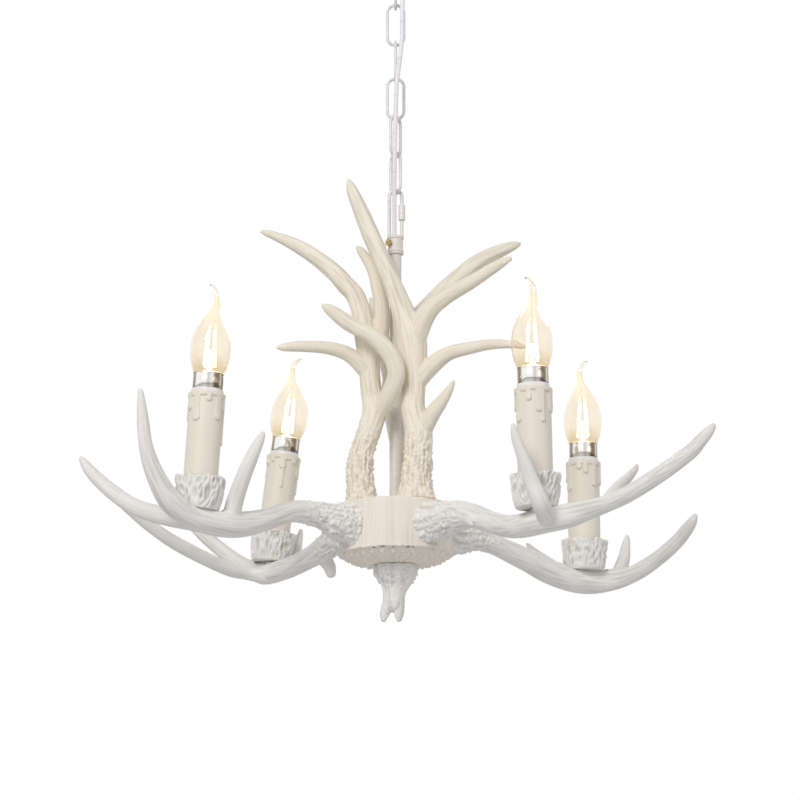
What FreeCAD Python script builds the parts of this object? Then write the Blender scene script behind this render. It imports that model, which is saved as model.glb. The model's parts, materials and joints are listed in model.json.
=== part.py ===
import FreeCAD
import Part
import math
import os
import Sketcher

# Antler chandelier, four candle lights, hung on a chain below a ceiling canopy.
# Millimetres. The origin is the middle of the bracket's face on the ceiling, +Z up,
# so everything hangs at negative Z. The photograph looks along +Y from the front (-Y).

V = FreeCAD.Vector
UP = V(0, 0, 1)
doc = FreeCAD.newDocument("AntlerChandelier")

# ---------------------------------------------------------------- driving dimensions
SIZES = {
    # ceiling fitting
    "bracket_length": 104, "bracket_width": 22, "bracket_gauge": 2, "bracket_drop": 13,
    "slot_spacing": 84, "slot_length": 12, "slot_width": 4.6,
    "canopy_radius": 55, "canopy_height": 38, "canopy_wall": 1.2,
    "nipple_radius": 5, "nipple_bore": 3.4, "nut_radius": 8.5, "nut_height": 4,
    "loop_ring": 9, "loop_wire": 1.8, "loop_neck_radius": 7,
    # chain
    "link_pitch": 37, "link_wire": 1.5, "link_half_width": 7.9, "link_gap": 0.3,
    "chain_top": -65.8,
    # stirrup, collar and stem
    "bail_wire": 1.7, "bail_half_width": 5.9, "sleeve_outer": 3.2, "sleeve_bore": 2.1,
    "sleeve_length": 15, "sleeve_top": -303.5,
    "collar_top": -334.4, "collar_height": 17.4, "collar_radius": 7, "collar_web": 3,
    "screw_azimuth": 225, "screw_height": -342,
    "stem_radius": 5.5, "stem_bore": 4.5, "stem_bottom": -640,
    "cable_radius": 2.1,
    # hub
    "hub_top": -592.5, "hub_radius": 52, "hub_height": 45.5, "hub_wall": 4,
    "plate_radius": 44, "plate_gauge": 3, "dish_depth": 10, "dish_gauge": 4, "dish_inset": 3,
    "finial_radius": 19.5, "finial_drop": 32, "stud_radius": 4.2,
    "bolt_radius": 3, "screw_radius": 2.5,
    # candle
    "cup_height": 30, "cup_foot_radius": 18, "cup_rim_radius": 22, "cup_floor": 4,
    "candle_radius": 15.4, "candle_bore": 14.2, "candle_top": 106.2, "wax_radius": 17.4,
    "holder_foot": 62, "holder_radius": 13.6, "ring_radius": 14.4, "ring_height": 3.4,
    "socket_radius": 7.5, "cap_gap": 0.4, "cap_radius": 13.7, "cap_height": 13.5,
    "thread_radius": 6.9, "thread_length": 24,
    "glass_height": 83, "glass_radius": 18.2, "glass_wall": 1, "tip_bend": 3.5,
    # all antler stations are multiplied by this
    "antler_girth": 1,
}
sheet = doc.addObject("Spreadsheet::Sheet", "Sizes")
for row, (name, value) in enumerate(SIZES.items(), start=1):
    sheet.set("A%d" % row, name)
    sheet.set("B%d" % row, str(value))
    sheet.setAlias("B%d" % row, name)
doc.recompute()
S = SIZES.get

# Candles: where each cup stands, how far it leans to the right, which way its bulb's tip bends.
CANDLES = {
    "front_left": {"foot": V(-174, -118, -619), "lean": 3.5, "tip": 180},
    "front_right": {"foot": V(122, -175, -627.7), "lean": -0.9, "tip": 180},
    "rear_right": {"foot": V(181, 118, -632.7), "lean": 0, "tip": 0},
    "rear_left": {"foot": V(-122.5, 175, -614.5), "lean": 6.8, "tip": 0},
}

# Antlers: each branch is a run of round stations, (x, y, z, radius), from root to tip.
ARMS = {
    "front_left": {
        "beam": [(-43.5, -29, -614.5, 19), (-56, -40, -613, 14.8), (-69, -48, -610, 11.2),
                 (-92, -66, -610, 10), (-115, -84, -620.5, 10), (-138, -101, -628.5, 11.6),
                 (-162, -116, -628.5, 11.8), (-183.5, -129, -623, 11), (-198, -140, -613, 10.3),
                 (-209.5, -150, -594, 8.4), (-217.5, -158, -571, 6.4), (-220.5, -162, -547, 5.2),
                 (-222, -164, -531, 3.8), (-223, -165, -521.5, 2.4)],
        "low_tine": [(-158, -113, -630, 10), (-181, -100, -624.5, 9.2), (-205, -86, -618, 8.4),
                     (-232, -70, -607.5, 7.6), (-256, -56, -590, 7), (-275, -46, -571.5, 5.8),
                     (-283, -42, -561, 4.2), (-286.5, -40, -556, 2.4)],
        "brow_tine": [(-147, -104, -630, 8.6), (-142, -112, -610, 7.7), (-135.5, -119, -592, 6.9),
                      (-128, -122, -574, 6.1), (-120.5, -124, -558, 4.4), (-117.5, -125, -551.5, 2.6)],
    },
    "front_right": {
        "beam": [(34.5, -39.5, -615.5, 18.5), (48, -56, -614.5, 14.6), (66, -82, -616.5, 11.4),
                 (82, -103, -625.5, 10.2), (96, -124, -634, 10), (110, -152, -639, 10.3),
                 (128, -176, -639, 11.2), (150, -179, -635, 10.6), (178, -166, -624, 7.8),
                 (205, -148, -609, 7.2), (235, -128, -587, 7.3), (262, -113, -565, 6.6),
                 (271, -107, -555, 6.1), (279.5, -103, -545, 5), (284, -101, -539, 3)],
        "brow_tine": [(132, -178, -640, 8.2), (125, -204, -630, 7.9), (117, -208, -611, 6.6),
                      (111, -211, -594, 5.8), (104, -215, -576, 4.4), (101.5, -217, -567, 2.8),
                      (101, -217, -563.5, 1.8)],
        "far_tine": [(181, -160, -624, 6.2), (196, -122, -600, 5.6), (208, -90, -584, 4.4),
                     (216.5, -63, -571, 3), (218.5, -60, -566.5, 1.8)],
        "nub": [(64, -84, -619, 6), (66, -102, -626, 3.5), (68, -110, -630, 1.6)],
    },
    "rear_right": {
        "beam": [(47, 31, -613, 18), (56, 36, -614, 17), (66, 42, -613.5, 14.5), (79, 49, -614.5, 10.6),
                 (95, 60, -618.5, 9.8), (123, 82, -628.5, 10.4), (149, 102, -637.5, 11.4),
                 (178, 120, -642, 12.2), (204, 126, -640.5, 11), (226, 119, -636, 8.4),
                 (247, 105, -625, 7.2), (266, 84, -611, 6.3), (275, 71, -601, 5.8), (279.5, 63, -595, 4.6),
                 (282, 59.5, -590.5, 2.6)],
        "ridge": [(85, 52, -614, 6), (108, 74, -618, 6.5), (133, 97, -625, 6.5), (157, 112, -632, 5.5),
                  (176, 117, -634, 2.5)],
        "outer_tine": [(213, 124, -636, 7.2), (220, 140, -618, 6), (222.5, 147, -605, 4.6),
                       (224, 149, -597, 3.2), (224.5, 150, -593.5, 1.8)],
        "brow_tine": [(160, 112, -636, 6.5), (147, 136, -621, 4.8), (137, 146, -611, 3.6),
                      (129.5, 151, -603, 2.4), (127.5, 152, -600.5, 1.4)],
    },
    "rear_left": {
        "beam": [(-41, 47, -611, 17), (-52, 62, -612, 13), (-65, 80, -616, 11.5), (-79, 102, -621, 10.6),
                 (-96, 132, -624.5, 10), (-113, 158, -626, 9.8), (-130, 178, -625.5, 9.8),
                 (-148, 190, -616, 8), (-163, 196, -605, 7.4), (-180, 200, -591, 6.9), (-196, 202, -576, 6),
                 (-207, 203, -563, 5), (-215, 203, -553, 3.8), (-218, 203, -549, 2)],
        "long_tine": [(-124, 170, -629, 8.6), (-145, 168, -626, 7), (-165, 154, -623.5, 6.8),
                      (-207, 118, -608, 6.6), (-232, 98, -594, 6), (-252, 84, -579.5, 5.2),
                      (-263, 80, -570, 4.4), (-269, 77, -562.5, 3.2), (-272, 76, -559, 1.8)],
        "brow_tine": [(-104, 150, -627, 6), (-99.5, 172, -616.5, 5.2), (-97, 190, -601, 4.4),
                      (-94.5, 197, -585, 3.2), (-93.5, 199, -578.5, 1.8)],
        "stub": [(-72, 92, -620, 8), (-63.5, 97, -631, 6.2), (-61.5, 98, -638, 5)],
    },
}
UPRIGHTS = {
    "right": {
        "trunk": [(19, -28, -592.5, 18), (19, -28, -576, 13.8), (21, -28, -550, 12.5), (21, -27, -526, 12.7),
                  (16.5, -25, -505, 11.2), (17, -24, -484, 10.8), (16, -24, -459, 13),
                  (13.5, -24, -437, 14.2), (6.5, -24, -412, 10.4), (-3, -24, -387, 9),
                  (-14.5, -24, -359, 8.6), (-25.5, -23, -333, 7.8), (-33, -22, -314, 7),
                  (-40, -21, -297, 5.5), (-42.8, -21, -289, 3.6), (-43.5, -21, -286, 2)],
        "front_tine": [(15, -24, -444, 12), (29, -32, -417, 9.2), (46, -38, -403, 7.4), (69, -45, -391, 6.4),
                       (88, -51, -380, 5.4), (98, -54, -374.5, 4.4), (105, -56, -371.5, 2.6)],
        "flat_tine": [(18, -24, -481, 9.2), (35, -30, -465, 8.2), (49, -36, -456.5, 6.6),
                      (64, -42, -453.5, 6), (84, -48, -451, 5), (100, -53, -451.5, 4), (112, -56, -454, 2.8),
                      (117, -57, -455, 1.6)],
        "small_tine": [(23, -28, -529, 9.5), (34, -36, -513, 7.4), (42, -41, -503, 5.8),
                       (48.5, -45, -494, 4), (53, -48, -486, 2)],
    },
    "left": {
        "trunk": [(-31, -20, -592.5, 14), (-32, -20, -576, 12.2), (-32.5, -20, -557, 11.2),
                  (-29, -20, -540, 10.6), (-23.5, -21, -524, 11), (-19, -20, -506, 11.4),
                  (-22.5, -17, -484, 9.6), (-25, -15, -457, 9.4), (-28.5, -14, -434, 9.4),
                  (-32, -12, -411, 9), (-38, -8, -393.5, 8.9), (-47, -6, -382.5, 8.9),
                  (-57, -4, -370.5, 8.2), (-75.5, 0, -354, 7.3), (-94, 2, -342, 6), (-111, 4, -333.5, 4.3),
                  (-121, 5, -329.5, 3.3), (-125.5, 5, -328, 2)],
        "flat_tine": [(-24, -16, -470, 8.6), (-43, -20, -453.5, 7), (-63, -24, -448, 5.9),
                      (-85, -28, -447.5, 5.2), (-96, -29, -448, 4.6), (-104, -31, -449, 3.6),
                      (-108, -32, -449.5, 2)],
        "centre_tine": [(-24, -14, -462, 8.4), (-16, -12, -440, 8.4), (-12.8, -10, -418, 7.8),
                        (-13.5, -10, -400.5, 7), (-16.8, -10, -385, 6.4), (-20.8, -10, -370, 5.8),
                        (-27.5, -10, -358, 4.8), (-33, -11, -350.5, 3.6), (-35.5, -11, -348, 2)],
        "cross_tine": [(-17, -20, -511, 9), (-5.5, -33, -494, 8.4), (0.8, -41, -477, 8.2),
                       (-4, -42, -460, 8.2), (-20, -43, -442.5, 7.6), (-37, -43, -433, 7),
                       (-46.5, -43.5, -427, 7), (-55.5, -44, -420.3, 6), (-62, -45.5, -416, 4.6),
                       (-66, -46, -413.5, 2.4)],
    },
    "rear": {
        "trunk": [(12, 33, -592.5, 14.5), (11, 33, -572, 11.5), (7, 34, -534, 11), (2, 35, -503, 11.5),
                  (0, 36, -474, 12.8), (6, 37, -440, 12), (18, 38, -410, 10), (37, 42, -386, 9.2),
                  (57, 46, -365, 8.8), (72, 49, -351, 8.2), (86, 50, -341, 7.3), (104, 54, -331.5, 6),
                  (114, 56, -327, 4.2), (118.5, 57, -325.5, 2.2)],
        "left_tine": [(0, 37, -474, 10), (-10, 42, -434, 8), (-18, 47, -403, 6), (-22.5, 50, -385, 3),
                      (-24, 51, -380.5, 1.6)],
        "back_tine": [(2, 37, -510, 9), (7, 60, -476, 7), (12, 82, -440, 5), (16, 94, -413, 2.8),
                      (17, 97, -407.5, 1.5)],
        "low_tine": [(8, 36, -540, 8), (19, 58, -514, 5.5), (27, 70, -495, 2.8), (28, 72, -490.5, 1.5)],
    },
}

# Supply cable: its route from the canopy, down in front of the chain, into the stem's collar.
CABLE_ROUTE = [
    V(15, -9, -24), V(14.5, -9.4, -44), V(11, -11.5, -64), V(7.5, -13.4, -88), V(6.2, -14.2, -116),
    V(6.4, -14.6, -142), V(4, -14.4, -164), V(1, -14.6, -186), V(0.2, -14, -212), V(-0.4, -13.6, -238),
    V(-0.8, -12.2, -264), V(-1.2, -9.4, -288), V(-1.1, -5, -308), V(-1.1, -2.5, -324), V(-1, -1.8, -341),
]


# ---------------------------------------------------------------- building blocks
def bind(obj, **expressions):
    """Tie properties of an object to formulas of the sheet."""
    for prop, formula in expressions.items():
        obj.setExpression(prop, formula.replace("#", "Sizes."))
    return obj


def place(obj, x=0, y=0, z=0, rotation=None):
    obj.Placement = FreeCAD.Placement(V(x, y, z), rotation or FreeCAD.Rotation())
    return obj


def cylinder(name, radius, height, x=0, y=0, z=0, rotation=None):
    obj = doc.addObject("Part::Cylinder", name)
    bind(obj, Radius=radius, Height=height)
    return place(obj, x, y, z, rotation)


def box(name, length, width, height, x=0, y=0, z=0):
    obj = doc.addObject("Part::Box", name)
    bind(obj, Length=length, Width=width, Height=height)
    return place(obj, x, y, z)


def fuse(name, pieces):
    obj = doc.addObject("Part::MultiFuse", name)
    obj.Shapes = pieces
    return obj


def cut(name, base, tool):
    obj = doc.addObject("Part::Cut", name)
    obj.Base = base
    obj.Tool = tool
    return obj


def group(name, pieces):
    """Several separate solids that share one node."""
    obj = doc.addObject("Part::Compound", name)
    obj.Links = pieces
    return obj


def turned(name, profile, x=0, y=0, z=0, rotation=None):
    """A PartDesign body turned about its own Z from a closed outline of (radius, height) formulas."""
    body = doc.addObject("PartDesign::Body", name)
    plane = next(f for f in body.Origin.OriginFeatures if f.Role == "XZ_Plane")
    sketch = body.newObject("Sketcher::SketchObject", name + "_outline")
    sketch.AttachmentSupport = [(plane, "")]
    sketch.MapMode = "FlatFace"
    numbers = [[value(formula) for formula in point] for point in profile]
    points = [V(r, h, 0) for r, h in numbers]
    for start, end in zip(points, points[1:] + points[:1]):
        sketch.addGeometry(Part.LineSegment(start, end))
    count = len(points)
    for i in range(count):
        sketch.addConstraint(Sketcher.Constraint("Coincident", i, 2, (i + 1) % count, 1))
    for i, (radius, height) in enumerate(profile):
        for kind, axis, formula, number in (
            ("DistanceX", -2, radius, numbers[i][0]), ("DistanceY", -1, height, numbers[i][1]),
        ):
            if number == 0:
                sketch.addConstraint(Sketcher.Constraint("PointOnObject", i, 1, axis))
            else:
                place_at = sketch.addConstraint(Sketcher.Constraint(kind, -1, 1, i, 1, number))
                sketch.setExpression("Constraints[%d]" % place_at, formula.replace("#", "Sizes."))
    turn = body.newObject("PartDesign::Revolution", name + "_turn")
    turn.Profile = sketch
    turn.ReferenceAxis = (sketch, ["V_Axis"])
    turn.Angle = 360
    return place(body, x, y, z, rotation)


def value(formula):
    """The number that a formula of the sheet gives."""
    for name in sorted(SIZES, key=len, reverse=True):
        formula = formula.replace("#" + name, repr(float(SIZES[name])))
    total = 0.0
    for term in formula.replace("-", "+-").split("+"):
        if term.strip():
            product = 1.0
            for factor in term.split("*"):
                factor = factor.replace("- ", "-").strip()
                top, _, bottom = factor.partition("/")
                product *= float(top) / float(bottom or 1)
            total += product
    return total


def solid_shape(name, shape, x=0, y=0, z=0):
    obj = doc.addObject("Part::Feature", name)
    obj.Shape = shape
    return place(obj, x, y, z)


def aim(direction):
    return FreeCAD.Rotation(UP, V(direction))


def radial(azimuth, radius, z):
    angle = math.radians(azimuth)
    return V(radius * math.cos(angle), radius * math.sin(angle), z)


def branch(name, stations):
    """A round branch lofted through circles that stand square to its run."""
    rings = []
    spots = [V(*station[:3]) for station in stations]
    for i, station in enumerate(stations):
        before = spots[max(i - 1, 0)]
        after = spots[min(i + 1, len(spots) - 1)]
        ring = doc.addObject("Part::Circle", "%s_ring%d" % (name, i))
        bind(ring, Radius="%g mm * #antler_girth" % station[3])
        place(ring, *spots[i], rotation=aim(after - before))
        rings.append(ring)
    loft = doc.addObject("Part::Loft", name)
    loft.Sections = rings
    loft.Solid = True
    return loft


def local(foot, rotation, offset):
    return V(*foot) + rotation.multVec(offset)


# ---------------------------------------------------------------- ceiling fitting
def ceiling_bracket():
    """Crossbar: two slotted ears against the ceiling, its middle dropped to carry the nipple."""
    parts = [box("bracket_middle", "#bracket_length * 0.5", "#bracket_width", "#bracket_gauge",
                 -S("bracket_length") / 4, -S("bracket_width") / 2, -S("bracket_drop") - S("bracket_gauge"))]
    for side in (-1, 1):
        edge = S("bracket_length") / 4
        low = edge if side > 0 else -S("bracket_length") / 2
        parts.append(box("bracket_ear", "#bracket_length / 4", "#bracket_width", "#bracket_gauge",
                         low, -S("bracket_width") / 2, -S("bracket_gauge")))
        wall = side * edge - S("bracket_gauge") / 2
        parts.append(box("bracket_wall", "#bracket_gauge", "#bracket_width", "#bracket_drop + #bracket_gauge",
                         wall, -S("bracket_width") / 2, -S("bracket_drop") - S("bracket_gauge")))
    holes = [cylinder("bracket_hole", "#nipple_radius + 0.1", "30", z=-30)]
    half = (S("slot_length") - S("slot_width")) / 2
    for side in (-1, 1):
        centre = side * S("slot_spacing") / 2
        holes.append(box("slot", "#slot_length - #slot_width", "#slot_width", "10",
                         centre - half, -S("slot_width") / 2, -6))
        for end in (-1, 1):
            holes.append(cylinder("slot_end", "#slot_width / 2", "10", centre + end * half, 0, -6))
    return cut("ceiling_bracket", fuse("bracket_solid", parts), fuse("bracket_holes", holes))


def nut(name, z, radius="#nut_radius", height="#nut_height", bore="#nipple_radius"):
    body = doc.addObject("Part::Prism", name + "_hex")
    body.Polygon = 6
    bind(body, Circumradius=radius, Height=height)
    place(body, z=z)
    return cut(name, body, cylinder(name + "_bore", bore, "40", z=z - 10))


def canopy():
    """Pressed dome with its rim on the ceiling, a flat floor, and holes for nipple and bush."""
    rise, wide, wall = "#canopy_height", "#canopy_radius", "#canopy_wall"
    shell = turned("canopy_shell", [
        ("#nipple_radius + 0.2", "0"), (wide + " * 0.5", "0"), (wide + " * 0.8", rise + " * 0.16"),
        (wide + " * 0.95", rise + " * 0.42"), (wide, rise + " * 0.75"), (wide, rise),
        (wide + " - " + wall, rise), (wide + " - " + wall, rise + " * 0.75"),
        (wide + " * 0.95 - " + wall, rise + " * 0.42 + 0.4"),
        (wide + " * 0.8 - 0.6", rise + " * 0.16 + " + wall),
        (wide + " * 0.5 - 0.4", wall), ("#nipple_radius + 0.2", wall),
    ], z=-S("canopy_height"))
    hole = cylinder("bush_hole", "3.6", "20", CABLE_ROUTE[1].x, CABLE_ROUTE[1].y, -S("canopy_height") - 10)
    return cut("canopy", shell, hole)


def cable_bush():
    """Grommet in the canopy's hole: a flange under the sheet and a sleeve through it."""
    x, y = CABLE_ROUTE[1].x, CABLE_ROUTE[1].y
    floor = -S("canopy_height")
    body = fuse("bush_body", [
        cylinder("bush_flange", "5.2", "1.8", x, y, floor - 1.8),
        cylinder("bush_sleeve", "3.5", "6", x, y, floor - 1.8),
    ])
    return cut("cable_bush", body, cylinder("bush_bore", "#cable_radius + 0.5", "20", x, y, floor - 10))


def canopy_nipple():
    rod = cylinder("nipple_rod", "#nipple_radius", "36", z=-44)
    return cut("canopy_nipple", rod, cylinder("nipple_hole", "#nipple_bore", "60", z=-60))


def canopy_loop():
    """Threaded neck with the ring that carries the chain."""
    neck_top = -S("canopy_height")
    ring_centre = S("chain_top") - 2 * S("link_wire") - S("link_gap") - S("loop_wire") + S("loop_ring")
    ring = doc.addObject("Part::Torus", "loop_torus")
    bind(ring, Radius1="#loop_ring", Radius2="#loop_wire")
    place(ring, z=ring_centre, rotation=FreeCAD.Rotation(V(1, 0, 0), 90))
    neck_foot = ring_centre + S("loop_ring") - 1
    neck = cylinder("loop_neck", "#loop_neck_radius", "%g" % (neck_top - neck_foot), z=neck_foot)
    body = fuse("loop_body", [ring, neck])
    return cut("canopy_loop", body, cylinder("loop_thread", "#nipple_radius", "6.1", z=neck_top - 6))


def terminal_block():
    """Three-way screw terminal lying on the canopy floor beside the nipple."""
    blocks = [box("terminal_way", "10", "16", "11", -40 + 10.4 * i, -8, -30) for i in range(2)]
    blocks.append(box("terminal_web", "20", "6", "3", -40, -3, -30))
    screws = [cylinder("terminal_hole", "2", "6", -35 + 10.4 * i, y, -22) for i in range(2) for y in (-4, 4)]
    return cut("terminal_block", fuse("terminal_solid", blocks), fuse("terminal_holes", screws))


# ---------------------------------------------------------------- chain and cable
LINK_AZIMUTHS = [90, 0, 90, 0, 55, 125]


def chain_link(number, azimuth):
    """A welded oval link: two straight sides and two half rings."""
    name = "chain_link_%d" % (number + 1)
    height = S("link_pitch") + S("link_gap") + 4 * S("link_wire")
    top = S("chain_top") - S("link_pitch") * number
    arc_gap = height - 2 * S("link_wire") - 2 * S("link_half_width")
    pieces = []
    for side in (-1, 1):
        bar = cylinder(name + "_side", "#link_wire", "%g" % arc_gap, side * S("link_half_width"),
                       z=-arc_gap / 2)
        bend = doc.addObject("Part::Torus", name + "_bend")
        bind(bend, Radius1="#link_half_width", Radius2="#link_wire")
        bend.Angle3 = 180
        tilt = FreeCAD.Rotation(V(1, 0, 0), side * 90)
        place(bend, z=side * arc_gap / 2, rotation=tilt)
        pieces += [bar, bend]
    link = fuse(name, pieces)
    return place(link, z=top - height / 2, rotation=FreeCAD.Rotation(UP, azimuth))


def cable_tube():
    """The supply cable: straight runs joined by tangent arcs, swept by its round section."""
    route = CABLE_ROUTE
    edges = []
    start = route[0]
    length = 0.0
    for before, corner, after in zip(route, route[1:], route[2:]):
        into, out = (before - corner), (after - corner)
        reach = 0.45 * min(into.Length, out.Length)
        turn = math.pi - into.getAngle(out)
        radius = reach / math.tan(turn / 2)
        print("cable arc radius %.0f mm" % radius)
        into.normalize()
        out.normalize()
        a, b = corner + into * reach, corner + out * reach
        bisector = (into + out).normalize()
        middle = corner + bisector * (radius / math.cos(turn / 2) - radius)
        edges += [Part.LineSegment(start, a).toShape(), Part.Arc(a, middle, b).toShape()]
        length += (a - start).Length + radius * turn
        start = b
    edges.append(Part.LineSegment(start, route[-1]).toShape())
    length += (route[-1] - start).Length
    path = Part.Wire(edges)
    section = Part.Wire([Part.makeCircle(S("cable_radius"), route[0], route[1] - route[0])])
    tube = path.makePipeShell([section], True, False)
    ratio = tube.Volume / (math.pi * S("cable_radius") ** 2 * length)
    print("cable length %.1f mm, volume ratio %.4f" % (length, ratio))
    return solid_shape("supply_cable", tube)


# ---------------------------------------------------------------- stirrup, collar, stem
def bail_top():
    height = S("link_pitch") + S("link_gap") + 4 * S("link_wire")
    last_bottom = S("chain_top") - S("link_pitch") * (len(LINK_AZIMUTHS) - 1) - height
    return last_bottom + 2 * S("link_wire") + S("link_gap") + 2 * S("bail_wire")


def stem_bail():
    """Stirrup over the collar. Its right leg has the gap that the screwed sleeve closes."""
    arch_z = bail_top() - S("bail_wire") - S("bail_half_width")
    arch = doc.addObject("Part::Torus", "bail_arch")
    bind(arch, Radius1="#bail_half_width", Radius2="#bail_wire")
    arch.Angle3 = 180
    place(arch, z=arch_z, rotation=FreeCAD.Rotation(V(1, 0, 0), 90))
    leg_length = arch_z - S("collar_top")
    legs = [cylinder("bail_leg", "#bail_wire", "%g" % leg_length, side * S("bail_half_width"),
                     z=S("collar_top")) for side in (-1, 1)]
    gap = cylinder("bail_gap", "#bail_wire + 1", "4", S("bail_half_width"), 0, -313)
    return cut("stem_bail", fuse("bail_solid", [arch] + legs), gap)


def bail_sleeve():
    sleeve = turned("bail_sleeve", [
        ("#sleeve_bore", "0"), ("#sleeve_outer - 0.5", "0"), ("#sleeve_outer", "0.6"),
        ("#sleeve_outer", "#sleeve_length - 0.6"), ("#sleeve_outer - 0.5", "#sleeve_length"),
        ("#sleeve_bore", "#sleeve_length"),
    ], S("bail_half_width"), 0, S("sleeve_top") - S("sleeve_length"))
    return sleeve


def on_screw(reach):
    """A point on the set screw's axis, at a reach from the stem's axis."""
    return radial(S("screw_azimuth"), reach, S("screw_height"))


def screw_aim():
    return aim(radial(S("screw_azimuth"), 1, 0))


def stem_collar():
    """Cap over the stem's top, with a flange for the stirrup and two bead rings at its foot."""
    r, tall = "#collar_radius", "#collar_height"
    foot = S("collar_top") - S("collar_height")
    cap = turned("collar_body", [
        ("#stem_radius + 0.05", "0"), (r + " + 0.6", "0"), (r + " + 0.6", "1.6"), (r + " - 0.1", "2"),
        (r + " + 0.6", "2.4"), (r + " + 0.6", "4"), (r, "4.6"), (r, tall + " - 3"),
        (r + " + 0.8", tall + " - 2.4"),
        (r + " + 0.8", tall), ("0", tall), ("0", tall + " - #collar_web"),
        ("#stem_radius + 0.05", tall + " - #collar_web"),
    ], z=foot)
    cable = CABLE_ROUTE[-1]
    tools = [cylinder("collar_cable_hole", "#cable_radius + 0.5", "12", cable.x, cable.y,
                      S("collar_top") - 6),
             cylinder("collar_screw_hole", "1.6", "8", *on_screw(5.2), screw_aim())]
    return cut("stem_collar", cap, fuse("collar_tools", tools))


def collar_screw():
    """Brass set screw through the collar's front left, with a slotted head that stands off it."""
    head = cylinder("screw_head", "3.2", "2.4", *on_screw(8.2), screw_aim())
    shank = cylinder("screw_shank", "1.5", "2.6", *on_screw(5.7), screw_aim())
    slot = box("screw_slot", "1", "8", "0.8")
    turn = FreeCAD.Rotation(UP, S("screw_azimuth"))
    place(slot, *(on_screw(9.8) + turn.multVec(V(0, -4, -0.4))), rotation=turn)
    return cut("collar_screw", fuse("screw_solid", [head, shank]), slot)


def stem_tube():
    top = S("collar_top") - S("collar_web")
    long = "%g - #stem_bottom" % top
    rod = cylinder("stem_rod", "#stem_radius", long, z=S("stem_bottom"))
    return cut("stem_tube", rod, cylinder("stem_hole", "#stem_bore", long + " + 20", z=S("stem_bottom") - 10))


def stem_nuts():
    """Two nuts that clamp the hub's top and its plate on the stem's thread."""
    under = S("hub_top") - S("hub_wall") - S("plate_gauge")
    nuts = [nut("stem_nut_low", under - 5, "10", "5", "#stem_radius"),
            nut("stem_nut_top", S("hub_top"), "10", "4", "#stem_radius")]
    return group("stem_nuts", nuts)


# ---------------------------------------------------------------- hub
def arm_azimuth(name):
    x, y = ARMS[name]["beam"][0][:2]
    return math.degrees(math.atan2(y, x))


def hub_body():
    """Drum: a cylinder wall and a top, open below."""
    r, tall, wall = "#hub_radius", "#hub_height", "#hub_wall"
    drum = turned("hub_drum", [
        ("#stem_radius + 0.1", tall + " - " + wall), (r + " - " + wall, tall + " - " + wall),
        (r + " - " + wall, "0"), (r, "0"), (r, tall + " - 1"), (r + " - 1", tall),
        ("#stem_radius + 0.1", tall),
    ], z=S("hub_top") - S("hub_height"))
    tools = []
    for name in ARMS:
        azimuth = arm_azimuth(name)
        side = radial(azimuth, S("hub_radius") - 10, ARMS[name]["beam"][0][2])
        tools.append(cylinder("bolt_way", "#bolt_radius + 0.1", "20", *side, aim(radial(azimuth, 1, 0))))
    for trunk in UPRIGHTS.values():
        x, y = trunk["trunk"][0][:2]
        tools.append(cylinder("screw_way", "#screw_radius + 0.1", "12", x, y, S("hub_top") - 8))
    return cut("hub_body", drum, fuse("hub_tools", tools))


def hub_plate():
    """Steel disc under the drum's top, which spreads the load of stem and antlers."""
    z = S("hub_top") - S("hub_wall") - S("plate_gauge")
    disc = cylinder("plate_disc", "#plate_radius", "#plate_gauge", z=z)
    tools = [cylinder("plate_hole", "#stem_radius + 0.1", "10", z=z - 3)]
    for trunk in UPRIGHTS.values():
        x, y = trunk["trunk"][0][:2]
        tools.append(cylinder("plate_way", "#screw_radius + 0.1", "10", x, y, z - 3))
    return cut("hub_plate", disc, fuse("plate_tools", tools))


def dish_foot():
    return S("hub_top") - S("hub_height") - S("dish_depth")


def hub_underside():
    """Dished cover below the drum, a little narrower than it, with a spigot inside the drum's wall."""
    r, deep, gauge = "#hub_radius", "#dish_depth", "#dish_gauge"
    spigot = r + " - #hub_wall - 0.2"
    return turned("hub_underside", [
        ("#stud_radius + 0.2", "0"), ("#finial_radius", "0"), (r + " * 0.68", deep + " * 0.28"),
        (r + " * 0.88", deep + " * 0.68"), (r + " - #dish_inset", deep), (spigot, deep),
        (spigot, deep + " + 3"), (spigot + " - 2", deep + " + 3"),
        (r + " * 0.84", deep + " * 0.68 + " + gauge), (r + " * 0.66", deep + " * 0.28 + " + gauge),
        ("#finial_radius", gauge), ("#stud_radius + 0.2", gauge),
    ], z=dish_foot())


FINIAL_LEGS = {
    "left": [(-4.5, 0, -676, 5.6), (-7.5, -1, -686, 5.2), (-9.8, -1, -693, 4.3), (-10.6, -1, -697.5, 2.8)],
    "right": [(2.5, 0, -676, 6.2), (3.2, -1, -686, 5), (3.4, -1, -693, 4.4), (3.2, -1, -697.5, 2.8)],
}


def finial():
    """Drop below the dish: a flared burr that narrows to two short prongs."""
    r = "#finial_radius"
    burr = turned("finial_burr", [
        ("0", "0"), ("9.4", "0"), ("10", "6"), ("11.6", "11"), ("15.5", "17"), (r, "23.5"),
        (r + " + 0.3", "29"),
        (r + " - 0.6", "#finial_drop"), ("#stud_radius", "#finial_drop"), ("#stud_radius", "14"), ("0", "14"),
    ], z=dish_foot() - S("finial_drop"))
    legs = [branch("finial_leg_" + side, stations) for side, stations in FINIAL_LEGS.items()]
    return fuse("finial", [burr] + legs)


def finial_stud():
    return cylinder("finial_stud", "#stud_radius", "26", z=dish_foot() - 18)


def wire_connectors():
    """Two lever connectors that join the supply to the four lamps inside the hub."""
    z = S("hub_top") - S("hub_height") + 4
    return group("wire_connectors", [box("connector", "18", "13", "8", x, 16, z) for x in (-22, 4)])


# ---------------------------------------------------------------- antlers
def foot_cylinder(name):
    candle = CANDLES[name]
    rotation = FreeCAD.Rotation(V(0, 1, 0), candle["lean"])
    return candle["foot"], rotation


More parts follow.
